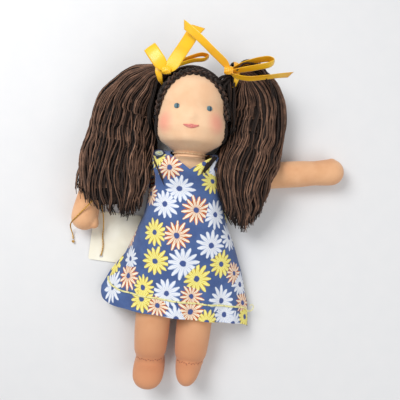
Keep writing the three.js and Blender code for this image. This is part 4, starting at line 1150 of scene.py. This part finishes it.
def loose_strands(side, under, chance):
    """Strands of the loose locks, laid on what is under them."""
    for points, strands, spread, tones in LOOSE_LOCKS[side]:
        for _ in range(strands):
            shift = chance.normal(0, 1.0, 3) * spread * np.array([0.7, 0.35, 0.8])
            fan = np.linspace(1.0, 0.4, len(points))[:, None]
            count = 5 * len(points)
            line = route(np.array(points, float) + shift * fan, count)
            line = line[:int(count * chance.uniform(0.84, 1.0))]
            size = chance.uniform(0.5, 0.75)
            steps = np.linspace(0, 1, len(line))
            line[:, 0] += np.sin(steps * chance.uniform(9, 15) + chance.uniform(0, 6)) * 0.5
            floor = np.array([top_of(under, x, y) for x, y in line[:, :2]])
            resting = floor + size + 0.3 + chance.uniform(0, 1.8)
            held = np.maximum(resting, line[:, 2] + shift[2])
            line[:, 2] = blur(np.where(line[:, 1] > 60, held, resting), 4)
            line = clear_of_head(line, size)
            yield line, size, chance.uniform(*tones)


def add_ponytail(side, hair, under, seed):
    chance = np.random.default_rng(seed)
    made = Bundle()
    fan = tail_strands(side, under, chance, 290)
    for line, size, tone in chain(fan, loose_strands(side, under, chance)):
        thin = np.full(len(line), size)
        thin[-4:] *= np.linspace(1, 0.4, 4)
        made.add_tube(line, thin, STRAND_SIDES, tone)
    tail = made.make(f"ponytail_{side}_yarn", hair)
    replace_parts(tail, f"ponytail_{side}")
    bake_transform(tail)
    body = add_tail_core(side, hair)
    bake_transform(body)


def add_tail_core(side, hair):
    """A dark filling inside the strands: the plain solid, drawn in and shortened."""
    core = NODES[f"ponytail_{side}"].data.copy()
    core.materials.clear()
    core.materials.append(hair)
    points = np.zeros(len(core.vertices) * 3)
    core.vertices.foreach_get("co", points)
    points = points.reshape(-1, 3)
    normals = np.array([vertex.normal for vertex in core.vertices])
    points = points - normals * 2.6 * MM
    points[:, 1] = np.where(points[:, 1] < 0, points[:, 1] * 0.45, points[:, 1])
    core.vertices.foreach_set("co", points.ravel())
    while core.uv_layers:
        core.uv_layers.remove(core.uv_layers[0])
    core.uv_layers.new(name="cloth")
    core.shade_smooth()
    return add_object(f"ponytail_{side}_core", core)


def clear_of_head(line, size):
    """Moves what would lie inside the cap out to its surface."""
    middle_x, level = head_sections(np.clip(line[:, 1], *HEAD_STATIONS[[0, -1], 0]))
    grow = CAP_DEPTH + size
    dx = (line[:, 0] - middle_x) / (level[:, 1] + grow)
    dz = (line[:, 2] - level[:, 0]) / (level[:, 2] + grow)
    far = np.hypot(dx, dz)
    push = np.where((far < 1) & (line[:, 1] < 106) & (line[:, 1] > 40), 1 / np.maximum(far, 0.2), 1.0)
    moved = line.copy()
    moved[:, 0] = middle_x + (line[:, 0] - middle_x) * push
    moved[:, 2] = level[:, 0] + (line[:, 2] - level[:, 0]) * push
    return moved


def tail_start(side, steps):
    """The middle and aim of a ponytail where it is tied, and the spokes round it."""
    first, second = TAILS[side][:2, :3]
    aim = unit(second - first)
    across, high = axes_across(aim)
    angle = circle(steps, closed=True)[:, None]
    return first * 0.6 + second * 0.4, aim, across * np.cos(angle) + high * np.sin(angle)


def add_tie(side, hair):
    """Yarn wound three times round the start of a ponytail."""
    at, aim, spokes = tail_start(side, 49)
    made = Bundle()
    for row in (-1.5, 0.0, 1.5):
        made.add_tube(at + aim * row + spokes * TIE_REACH, 0.85, 8, 0.15)
    tie = made.make(f"hair_tie_{side}_wound", hair)
    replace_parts(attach(tie, "head"), f"hair_tie_{side}")


# Ribbons: each strip has its middle line, the direction of its width, and its width
BOWS = {
    "right": {
        "knot": (-23.5, 108.5, 57.5),
        "loop_outer": ([
            (-26.5, 111, 58.8), (-31.5, 117, 59.6), (-36.5, 123.5, 58.2), (-40, 128, 55), (-37.5, 125, 51.6),
            (-32.5, 118.5, 52.2), (-27.5, 112.4, 54.2),
        ], (0.77, 0.64, 0.05), 11.5),
        "loop_inner": ([
            (-20.5, 111, 57.7), (-11, 118, 55.4), (-2, 123, 53.6), (6, 125.8, 52.5), (11.6, 124.2, 52.6),
            (8, 121, 53.7), (-1, 119.2, 54.6), (-10, 115.4, 56), (-20.5, 109.4, 57.9),
        ], (0.05, 0.25, 0.95), 6.0),
        "tail_inner": ([
            (-20.5, 110.5, 59.4), (-14, 122, 58.5), (-8, 134, 55), (-2.5, 146, 51), (0.5, 151, 48),
        ], (0.9, -0.4, 0.05), 11.5),
    },
    "left": {
        "knot": (29.5, 112.5, 57.5),
        "loop_outer": ([
            (32.5, 114, 57.3), (44, 119.8, 56.7), (56, 124, 56.6), (63.6, 125, 57.1), (67.6, 122.8, 58.2),
            (64.4, 119.8, 58.8), (56, 117.2, 58.8), (45, 114.4, 58.5), (32.5, 112, 57.9),
        ], (-0.1, 0.3, 0.95), 8.5),
        "tail_inner": ([
            (26.4, 116.6, 60.4), (14, 126, 65), (1, 137, 65), (-9, 145.5, 61.4), (-11.5, 147.5, 60),
        ], (0.4, 0.5, 0.7), 7.5),
        "tail_outer": ([
            (34.5, 108.4, 57.6), (46, 107, 56.5), (60, 110, 52.6), (74, 114, 47.4), (85, 117, 42.4),
        ], (-0.1, 0.3, 0.95), 7.0),
    },
}


def ribbon_strip(points, broad, width, loop):
    """A thin strip, pinched at each end that a knot holds and cut on a slant at a free end."""
    count = 60
    line = route(points, count)
    far = np.linspace(0, 1, count)
    run = heading(line)
    across = unit(broad - run * (broad * run).sum(axis=1, keepdims=True))
    face = np.cross(run, across)
    gather = 1 - 0.5 * bell(far, 0, 0.09)
    if loop:
        gather = gather - 0.5 * bell(far, 1, 0.09)
    slant = 0.0 if loop else 0.35
    cells = 10
    rows = []
    for offset in np.linspace(-1, 1, cells + 1):
        ruffle = 0.5 * np.sin(far * 9 + offset * 2.0) * (1 - gather * 0.6)
        cup = 0.55 * (offset**2 - 0.4) * (1.3 - gather) + ruffle * 0.5
        shift = run * (slant * offset * width / 2 * np.clip((far - 0.9) / 0.1, 0, 1))[:, None]
        rows.append(line + across * (offset * width / 2 * gather)[:, None] + face * cup[:, None] + shift)
    sheet = np.stack(rows, axis=1).reshape(-1, 3)
    return sheet, grid_faces(count, cells + 1)


def add_bow(side, silk):
    bow = BOWS[side]
    knot = [bow["knot"]]
    for name, strip in bow.items():
        if name == "knot":
            continue
        points, broad, width = strip
        loop = name.startswith("loop")
        points = knot + points + (knot if loop else [])
        sheet, faces = ribbon_strip(points, np.array(broad), width, loop)
        made = add_mesh(f"ribbon_{side}_{name}_satin", sheet, faces, silk)
        thicken(made, SATIN, 0.0)
        made.data.shade_smooth()
        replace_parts(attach(made, "head"), f"ribbon_{side}_{name}")
    add_bow_knot(side, np.array(bow["knot"]), silk)


def add_bow_knot(side, at, silk):
    """A folded band drawn tight over the middle of the bow, and its turn round the hair."""
    half_length, half_width, half_height = BOW_KNOT
    made = Bundle()
    angle = circle(40)
    rings = []
    for column in np.linspace(1, -1, 15):
        pinch = 1 - 0.24 * column**2 + 0.05 * math.cos(column * 14)
        pinch = pinch * (1 + 0.05 * np.sin(angle * 7 + column * 3))
        rings.append(at + np.stack([
            np.full(len(angle), column * half_length),
            np.cos(angle) * half_width * pinch,
            np.sin(angle) * half_height * pinch,
        ], axis=1))
    made.add_rings(np.array(rings))
    knot = made.make(f"ribbon_{side}_knot_satin", silk)
    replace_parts(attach(knot, "head"), f"ribbon_{side}_knot")
    turn = circle(WRAP_STEPS, closed=True)
    middle, aim, spokes = tail_start(side, WRAP_STEPS)
    outline = middle + spokes * WRAP_REACH
    from_knot = np.arccos(np.clip(spokes @ unit(at - middle), -1, 1))
    wide = 0.8 + 2.8 * bell(from_knot, 0, 0.95)
    band = []
    for offset in np.linspace(-1, 1, 7):
        ripple = 0.25 * np.sin(turn * 9 + offset * 4.7)
        band.append(outline + aim * (offset * wide)[:, None] + spokes * ripple[:, None])
    sheet = np.stack(band, axis=1).reshape(-1, 3)
    wrap = add_mesh(f"ribbon_{side}_turn", sheet, grid_faces(WRAP_STEPS, len(band)), silk)
    thicken(wrap, SATIN)
    wrap.data.shade_smooth()
    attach(wrap, "head")


# Dress: the same surfaces as the part's source, on a finer grid
LEFT_EDGE = np.array([
    (-117, 68.3), (-96.5, 66.6), (-65, 58), (-40, 48.7), (-24, 41.5), (-5, 37), (20, 34), (42, 31),
])
RIGHT_EDGE = np.array([
    (-89, 73.3), (-73, 65.4), (-56, 52.6), (-41, 46.6), (-17, 37.5), (5, 34.4), (20, 34), (42, 31),
])
HEM_LINE = route([
    (0, -89, 0), (0.06, -96.5, 0), (0.2, -103, 0), (0.5, -106.5, 0), (0.75, -110, 0), (1, -117, 0),
], 60)
HEM_ALLOWANCE = 15.0


def hem_y(u):
    return np.interp(u, HEM_LINE[:, 0], HEM_LINE[:, 1])


HEM_SHARE = HEM_ALLOWANCE / (DRESS_TOP_Y - hem_y(0.5))


def blend_values(low, high, share):
    return low + (high - low) * share


def fullness(y):
    return np.sqrt(1 - np.clip((y - 22) / 20, 0, 1) ** 2)


def seam_height(y):
    return blend_values(5.0, 22.0, ease((y - 4) / 38))


def dress_plan(u, v):
    theta = math.pi * (1 - u)
    cosine = np.cos(theta)
    right = np.interp(blend_values(hem_y(0.0), DRESS_TOP_Y, v), RIGHT_EDGE[:, 0], RIGHT_EDGE[:, 1])
    left = np.interp(blend_values(hem_y(1.0), DRESS_TOP_Y, v), LEFT_EDGE[:, 0], LEFT_EDGE[:, 1])
    x = cosine * np.where(cosine < 0, right, left)
    return x, blend_values(hem_y(u), DRESS_TOP_Y, v), theta, cosine


def dress_front(u, v):
    x, y, theta, _ = dress_plan(u, v)
    skirt = ease((-20 - y) / 70)
    sine = np.maximum(np.sin(theta), 0)
    folds = 1.6 * skirt**2 * (1 - np.cos(14 * theta)) * sine
    arch = sine ** blend_values(0.72, 1.35, skirt)
    z = seam_height(y) + (blend_values(39.0, 34.0, skirt) * arch + folds) * fullness(y)
    low = 0.45 * np.sin(x * 0.21 + y * 0.11) * np.sin(y * 0.16 - x * 0.05 + 1.0)
    fine = 0.22 * np.sin(x * 0.47 - y * 0.33) * np.sin(y * 0.41 + x * 0.2)
    z = z + (low + fine) * sine * fullness(y)
    z = z - 0.35 * bell(v, HEM_SHARE, 0.009) * sine
    return np.stack([x, y, z], axis=-1)


def dress_back(u, v):
    x, y, _, cosine = dress_plan(u, v)
    rise = ease((np.abs(cosine) - 0.45) / 0.55)
    edge = seam_height(y) - CLOTH - GAP - 0.1
    z = edge * (1 - fullness(y) * (1 - rise))
    return np.stack([x, y, np.broadcast_to(z, x.shape)], axis=-1)


def in_photo(points):
    """Picture coordinates of places on the doll, seen from the photograph's camera."""
    scale = (CAMERA_Z - points[..., 2]) / FOCAL_PIXELS
    x = points[..., 0] - CAMERA_X
    y = points[..., 1]
    across = x * math.cos(CAMERA_TURN) + y * math.sin(CAMERA_TURN)
    up = -x * math.sin(CAMERA_TURN) + y * math.cos(CAMERA_TURN)
    return np.stack([PICTURE_MIDDLE + across / scale, PICTURE_MIDDLE - up / scale], axis=-1)


# Printed flowers on the front: picture coordinates, radius in millimetres, kind
WHITE, YELLOW, ORANGE = 0.0, 1.0, 2.0
FRONT_FLOWERS = [
    (165, 203.6, 14, WHITE), (180, 188, 14, WHITE), (214.6, 215.4, 13, WHITE), (210.8, 244.8, 14, WHITE),
    (228, 237, 13, WHITE), (183.4, 264.3, 15, WHITE), (131.4, 258.6, 12, WHITE), (113.6, 286.7, 14, WHITE),
    (166.8, 294.2, 14, WHITE), (220.4, 301.3, 14, WHITE), (223.6, 313.8, 13, WHITE), (239, 285, 13, WHITE),
    (215, 169, 12, WHITE), (196, 210, 14, ORANGE), (170, 167, 13, ORANGE), (176.7, 235, 14, ORANGE),
    (152, 193.6, 12, ORANGE), (135, 233.6, 13, ORANGE), (128.8, 276.4, 13, ORANGE), (190.5, 312, 14, ORANGE),
    (190.5, 296, 12, ORANGE), (158, 304.6, 12, ORANGE), (233.4, 273, 12, ORANGE), (242, 303, 12, ORANGE),
    (155.4, 232, 13, YELLOW), (155, 261, 14, YELLOW), (143, 287, 12, YELLOW), (142, 299, 13, YELLOW),
    (196.8, 278, 14, YELLOW), (221.3, 263.8, 13, YELLOW), (212, 181, 12, YELLOW), (203.5, 164, 12, YELLOW),
    (244, 316, 12, YELLOW), (158, 158, 12, YELLOW), (150, 175, 12, YELLOW), (119, 262, 12, YELLOW),
    (225, 213, 10, YELLOW), (232, 330, 13, WHITE), (205, 330, 12, YELLOW), (175, 325, 13, WHITE),
]


def sheet_grid(surface, columns, rows, power):
    return surface(*np.meshgrid(np.linspace(0, 1, columns), 1 - (1 - np.linspace(0, 1, rows)) ** power))


def cloth_coordinates(grid):
    """Places on the flat cloth in millimetres, from the middle of the hem."""
    middle = grid.shape[1] // 2
    across = np.array([distances(row) for row in grid])
    across = across - across[:, middle:middle + 1]
    along = distances(grid[:, middle])
    return np.stack([across, np.broadcast_to(along[:, None], across.shape)], axis=-1)


PETALS = 13.0
PETAL_MIDDLE = 0.58
PETAL_WIDTH = 0.146


def daisy_cloth(name, flowers):
    """Blue cotton printed with daisies; flowers are (x, y, radius, kind, turn) in cloth millimetres."""
    paint = Paint(name, 0.88)
    uv = paint.node("ShaderNodeUVMap", uv_map="cloth").outputs["UV"]
    place = paint.vector("MULTIPLY", uv, (100.0, 100.0, 0.0))
    wobble = paint.noise(0.35, 1.0, place, "Color")
    shaken = paint.vector("MULTIPLY", paint.vector("SUBTRACT", wobble, (0.5, 0.5, 0.5)), (1.3, 1.3, 0.0))
    place = paint.vector("ADD", place, shaken)
    near = offset = facts = None
    for x, y, radius, kind, turn in flowers:
        gap = paint.vector("SUBTRACT", place, (x, y, 0.0))
        gap = paint.vector("MULTIPLY", gap, (1.0 / radius, 1.0 / radius, 0.0))
        far = paint.vector("LENGTH", gap)
        own = (kind, turn, radius)
        if near is None:
            near, offset, facts = far, gap, own
            continue
        closer = paint.math("LESS_THAN", far, near)
        near = paint.math("MINIMUM", far, near)
        offset = paint.node("ShaderNodeMix", {0: closer, 4: offset, 5: gap}, data_type="VECTOR").outputs[1]
        facts = paint.node("ShaderNodeMix", {0: closer, 4: facts, 5: own}, data_type="VECTOR").outputs[1]
    offset = paint.node("ShaderNodeSeparateXYZ", {0: offset}).outputs
    facts = paint.node("ShaderNodeSeparateXYZ", {0: facts}).outputs
    angle = paint.math("ADD", paint.math("ARCTAN2", offset["Y"], offset["X"]), facts["Y"])
    sector = paint.times(angle, PETALS / (2 * math.pi))
    aside = paint.math("ABSOLUTE", paint.less(paint.math("FRACT", sector), 0.5))
    aside = paint.times(paint.times(aside, near), 2 * math.pi / PETALS)
    own_number = {"W": paint.math("ADD", paint.math("FLOOR", sector), facts["Y"])}
    uneven = paint.node("ShaderNodeTexWhiteNoise", own_number, noise_dimensions="1D").outputs["Value"]
    stretched = paint.times(near, paint.math("ADD", 0.94, paint.times(uneven, 0.2)))
    shape = paint.math("DIVIDE", paint.less(stretched, PETAL_MIDDLE), 1 - PETAL_MIDDLE)
    shape = paint.math("SUBTRACT", 1.0, paint.times(shape, shape), clamp=True)
    width = paint.times(paint.math("SQRT", shape), PETAL_WIDTH)
    petal = paint.fade(paint.less(width, aside), 0.0, 0.022)
    yellow = paint.math("GREATER_THAN", facts["X"], 0.5)
    orange = paint.math("GREATER_THAN", facts["X"], 1.5)
    slim = paint.less(0.64, paint.times(orange, 0.12))
    heart = paint.fade(paint.less(paint.times(width, slim), aside), -0.006, 0.01)
    edge = paint.mix(yellow, srgb(180, 193, 220), srgb(206, 172, 16))
    edge = paint.mix(orange, edge, srgb(196, 96, 0))
    inner = paint.mix(yellow, srgb(233, 236, 242), srgb(244, 236, 138))
    inner = paint.mix(orange, inner, srgb(248, 238, 214))
    heart = paint.times(heart, paint.fade(paint.noise(1.6, 2.0, place), 0.2, 0.42))
    vein = paint.times(paint.fade(aside, 0.016, 0.004), paint.fade(near, 0.7, 0.45))
    heart = paint.times(heart, paint.less(1.0, vein))
    ground = paint.patches(srgb(70, 98, 152), srgb(58, 84, 138), 90.0, 3.0, 0.3, 0.7)
    colour = paint.mix(petal, ground, paint.mix(heart, edge, inner))
    colour = paint.mix(paint.fade(near, 0.2, 0.165), colour, srgb(58, 80, 140))
    warp, weft = (paint.bands(0.55, direction, 0.5, place, 2.0) for direction in "XY")
    weave = paint.times(warp, weft)
    colour = paint.dab(colour, weave, 0.10, srgb(235, 236, 238))
    paint.bump(weave, 0.00008, 0.6)
    paint.bump(paint.noise(70.0, 3.0), 0.0012, 0.35)
    return paint.finish(colour, Sheen_Weight=0.15, Specular_IOR_Level=0.25)


def grid_sheet(name, grid, material, uvs):
    rows, columns = grid.shape[:2]
    return add_mesh(name, grid.reshape(-1, 3), grid_faces(rows, columns), material, uvs.reshape(-1, 2) / 100)


def prism(name, outline, low, high, material):
    """A closed upright block over a flat outline, used as a cutter."""
    count = len(outline)
    points = [(x, y, z) for z in (low, high) for x, y in outline]
    faces = [[i, (i + 1) % count, (i + 1) % count + count, i + count] for i in range(count)]
    faces += [list(reversed(range(count))), list(range(count, 2 * count))]
    return add_mesh(name, points, faces, material)


def dress_cutters(material):
    v_bottom_x, v_bottom_y, v_half = 3.1, 25.8, 19.0
    outline = [
        (v_bottom_x, v_bottom_y), (v_bottom_x + v_half, DRESS_TOP_Y - 3),
        (v_bottom_x + v_half, DRESS_TOP_Y + 12), (v_bottom_x - v_half, DRESS_TOP_Y + 12),
        (v_bottom_x - v_half, DRESS_TOP_Y - 3),
    ]
    cutters = [prism("neckline_cutter", outline, 23.0, 90.0, material)]
    neck = [(NECK_X, y, 30) for y in (33.0, 38.0, 43.0, 48.0)]
    cutters.append(add_mesh("neck_cutter", *tube(neck, 17.0, 48), material))
    for sign in (-1, 1):
        arm = [(sign * x, 21, 24) for x in (27.5, 38.0, 50.0, 60.0)]
        cutters.append(add_mesh("armhole_cutter", *tube(arm, 14.5, 48), material))
    return cutters


def add_dress(hem_cotton):
    front_grid = sheet_grid(dress_front, 161, 150, 1.8)
    places = cloth_coordinates(front_grid)
    seen = in_photo(front_grid)
    chance = np.random.default_rng(11)
    flowers = []
    for px, py, radius, kind in FRONT_FLOWERS:
        nearest = np.argmin(((seen - (px, py)) ** 2).sum(axis=-1))
        x, y = places.reshape(-1, 2)[nearest]
        flowers.append((float(x), float(y), float(radius), kind, float(chance.uniform(0, 6.28))))
    front_cloth = daisy_cloth("printed_front", flowers)
    rows = []
    for row in range(8):
        for column in range(-4, 5):
            x = column * 25.0 + (12.5 if row % 2 else 0) + chance.normal(0, 2.0)
            y = row * 22.0 + 4 + chance.normal(0, 2.0)
            kind = float((row * 2 + column) % 3)
            rows.append((x, y, float(chance.uniform(12, 14)), kind, float(chance.uniform(0, 6.28))))
    back_cloth = daisy_cloth("printed_back", [row for row in rows if abs(row[0]) < 84])

    front = grid_sheet("dress_front_cloth", front_grid, front_cloth, places)
    back_grid = sheet_grid(dress_back, 121, 110, 2.0)
    back = grid_sheet("dress_back_cloth", back_grid, back_cloth, cloth_coordinates(back_grid))
    for cloth in (front, back):
        thicken(cloth, CLOTH, 1.0)
        cut(cloth, dress_cutters(cloth.data.materials[0]))
        while len(cloth.data.materials) > 1:
            cloth.data.materials.pop(index=1)
        for face in cloth.data.polygons:
            face.material_index = 0
        cloth.data.shade_smooth()
        cloth.data.set_sharp_from_angle(angle=math.radians(50))
    lift_flat(back)
    threads = add_hem_threads(hem_cotton)
    return front, back, threads


def running_stitch(made, line, lifted, dash, space):
    """Short arched stitches along a line; lifted are the outward directions."""
    far = distances(line)
    start = 0.0
    while start + dash < far[-1]:
        along = np.linspace(start, start + dash, 9)
        points = sample(along, far, line)
        outward = sample(along, far, lifted)
        arch = np.sin(np.linspace(0, math.pi, 9)) ** 0.5
        points = points + outward * (0.3 + arch * 0.6)[:, None]
        made.add_tube(points, HEM_THREAD, 8)
        start += dash + space
    return points[-1]


def hem_line(surface, low, high, count=260):
    u = np.linspace(low, high, count)
    v = np.full(count, HEM_SHARE)
    line = surface(u, v)
    step = 1e-3
    across = surface(u + step, v) - surface(u - step, v)
    along = surface(u, v + step) - surface(u, v - step)
    return line, unit(np.cross(across, along))


def add_hem_threads(hem_cotton):
    made = Bundle()
    line, outward = hem_line(dress_front, 0.03, 0.93)
    line = line + outward * CLOTH
    end = running_stitch(made, line, outward, 8.4, 0.9)
    curl = [(0, 0, 0), (3.2, -3, -2), (6.5, -2.4, -3), (8, 1, -2.6), (6.4, 3.4, -1.2), (3.8, 2.6, 0.4)]
    made.add_tube(route(end + np.array(curl, float), 40), np.linspace(0.6, 0.35, 40), 6)
    front = made.make("hem_stitches_front", hem_cotton)
    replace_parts(front, "hem_stitch_front")
    made = Bundle()
    line, outward = hem_line(dress_back, 0.1, 0.9)
    outward = -outward
    running_stitch(made, line, outward * 0.2, 7.2, 1.3)
    back = made.make("hem_stitches_back", hem_cotton)
    lift_flat(back)
    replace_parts(back, "hem_stitch_back")
    return front, back


def add_button(rim, hem_cotton):
    """A dished button with a raised rim and two holes, and the thread through them."""
    low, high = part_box("shoulder_button")
    tilt = math.radians(52)
    facing = np.array([0, math.sin(tilt), math.cos(tilt)])
    along = np.array([0, math.cos(tilt), -math.sin(tilt)])
    aside = np.array([1.0, 0, 0])
    seat = (np.array(low) + np.array(high)) / 2 / MM - facing * 0.9
    profile = [
        (0.01, 0.0), (4.9, 0.0), (5.15, 0.15), (5.3, 0.5), (5.3, 1.3), (5.15, 1.65), (4.9, 1.8), (4.4, 1.78),
        (4.0, 1.55), (3.7, 1.2), (3.3, 1.1), (0.01, 1.28),
    ]
    angle = -circle(BUTTON_SIDES)[:, None]
    spokes = aside * np.cos(angle) + along * np.sin(angle)
    disc = Bundle()
    disc.add_rings(np.array([seat + spokes * radius + facing * height for radius, height in profile]))
    button = disc.make("shoulder_button_dished", rim(tuple(seat + facing * 1.2)))
    holes = []
    for sign in (-1, 1):
        start = seat + aside * sign * 1.2
        holes.append(add_mesh("button_hole", *tube([start + facing * d for d in (-2, 0, 2, 4)], 0.55, 16),
                              button.data.materials[0]))
    cut(button, holes)
    button.data.set_sharp_from_angle(angle=math.radians(60))
    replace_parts(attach(button, "torso"), "shoulder_button")
    made = Bundle()
    for shift in (-0.22, 0.22):
        bridge = [(-1.2, 0.2), (-1.15, 1.45), (0, 2.0), (1.15, 1.45), (1.2, 0.2)]
        line = [seat + aside * x + facing * h + along * shift for x, h in bridge]
        made.add_tube(route(line, 18), BUTTON_THREAD, 6)
    sewn = made.make("button_stitches", hem_cotton)
    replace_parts(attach(sewn, "torso"), "button_thread")


def button_paint(middle):
    paint = Paint("button_paint", 0.3)
    far = paint.vector("DISTANCE", paint.place, tuple(value * MM for value in middle))
    pale = paint.fade(far, 0.0040, 0.0033)
    dish = paint.patches(srgb(196, 205, 190), srgb(150, 164, 150), 500.0, 2.0, 0.35, 0.65)
    colour = paint.mix(pale, srgb(38, 46, 74), dish)
    paint.bump(paint.noise(900.0, 2.0), 0.00004, 0.5)
    return paint.finish(colour, Coat_Weight=0.35, Coat_Roughness=0.15)


# Assembly: each thread's colour, its shade, and its twist and roughness where they aren't the usual
THREADS = {
    "seam_thread": (srgb(226, 190, 150), srgb(206, 168, 126)),
    "limb_thread": (srgb(170, 104, 74), srgb(146, 86, 60)),
    "hem_thread": (srgb(243, 238, 172), srgb(226, 218, 140)),
    "eye_thread": (srgb(104, 140, 152), srgb(80, 114, 128), 1300.0, 0.45),
    "eye_dark": (srgb(44, 62, 76), srgb(34, 46, 58), 1300.0, 0.45),
    "mouth_thread": (srgb(238, 150, 138), srgb(226, 128, 118), 1300.0, 0.45),
    "lip_line": (srgb(220, 116, 108), srgb(204, 100, 94), 1300.0, 0.5),
}


def main():
    gold = metal_thread("gold_cord_paint")
    card_stock = paper("card_paint")
    set_stage()
    add_tag(gold, card_stock)

    face_cloth = jersey("face_cloth", srgb(241, 202, 164), srgb(234, 188, 148), [
        ((-21.4, 64.6, 54.5), 13.5, srgb(240, 146, 126), 0.68),
        ((22.2, 66.6, 54.5), 13.5, srgb(240, 146, 126), 0.68),
    ])
    body_cloth = jersey("body_cloth", srgb(232, 180, 136), srgb(218, 160, 116), [
        # Darker towards each toe: painted shade on the legs and feet
        ((17.4, -172, 4), 105.0, srgb(207, 142, 103), 0.85),
        ((-21.2, -176, 4), 105.0, srgb(207, 142, 103), 0.85),
        # The face's lighter colour round the neck and upper chest: painted light
        ((3, 34, 42), 34.0, srgb(241, 202, 164), 1.0),
    ])
    threads = {name: thread(f"{name}_paint", *look) for name, look in THREADS.items()}
    seam_thread = threads["seam_thread"]
    hem_cotton = threads["hem_thread"]
    filling = wool("wool_paint")
    silk = satin("satin_paint")
    browns = [
        (0.0, srgb(22, 15, 12)), (0.4, srgb(38, 26, 21)), (0.66, srgb(60, 41, 32)),
        (0.85, srgb(110, 78, 60)), (1.0, srgb(158, 120, 98)),
    ]
    hair = yarn("hair_paint", browns)

    for name, node in NODES.items():
        kind = wool_or_thread(name)
        if kind:
            node.data.materials.clear()
            node.data.materials.append(filling if kind == "wool" else seam_thread)

    head = add_body(face_cloth, body_cloth, seam_thread)
    arms = {side: add_arm(side, body_cloth) for side in SIDES}
    for side in SIDES:
        add_leg(side, body_cloth, threads["limb_thread"])
    add_face(head, threads)
    front, back, hems = add_dress(hem_cotton)
    add_button(button_paint, hem_cotton)

    skin = tree_of(head)
    add_cap(skin, hair)
    add_hairline(skin, yarn("hairline_paint", browns, 0.45, 0.35))
    cover = tree_of(front)
    for side, seed in (("left", 21), ("right", 34)):
        add_ponytail(side, hair, [cover, tree_of(arms[side])], seed)
        add_tie(side, hair)
        add_bow(side, silk)

    for piece, node in ((front, "dress_front"), (back, "dress_back")):
        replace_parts(piece, node)
    for piece in (front, back, *hems):
        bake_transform(piece)


def wool_or_thread(name):
    if "stuffing" in name or name == "head_core":
        return "wool"
    if name.endswith("_stitch") and name.startswith(("shoulder", "hip")):
        return "thread"
    return None


main()
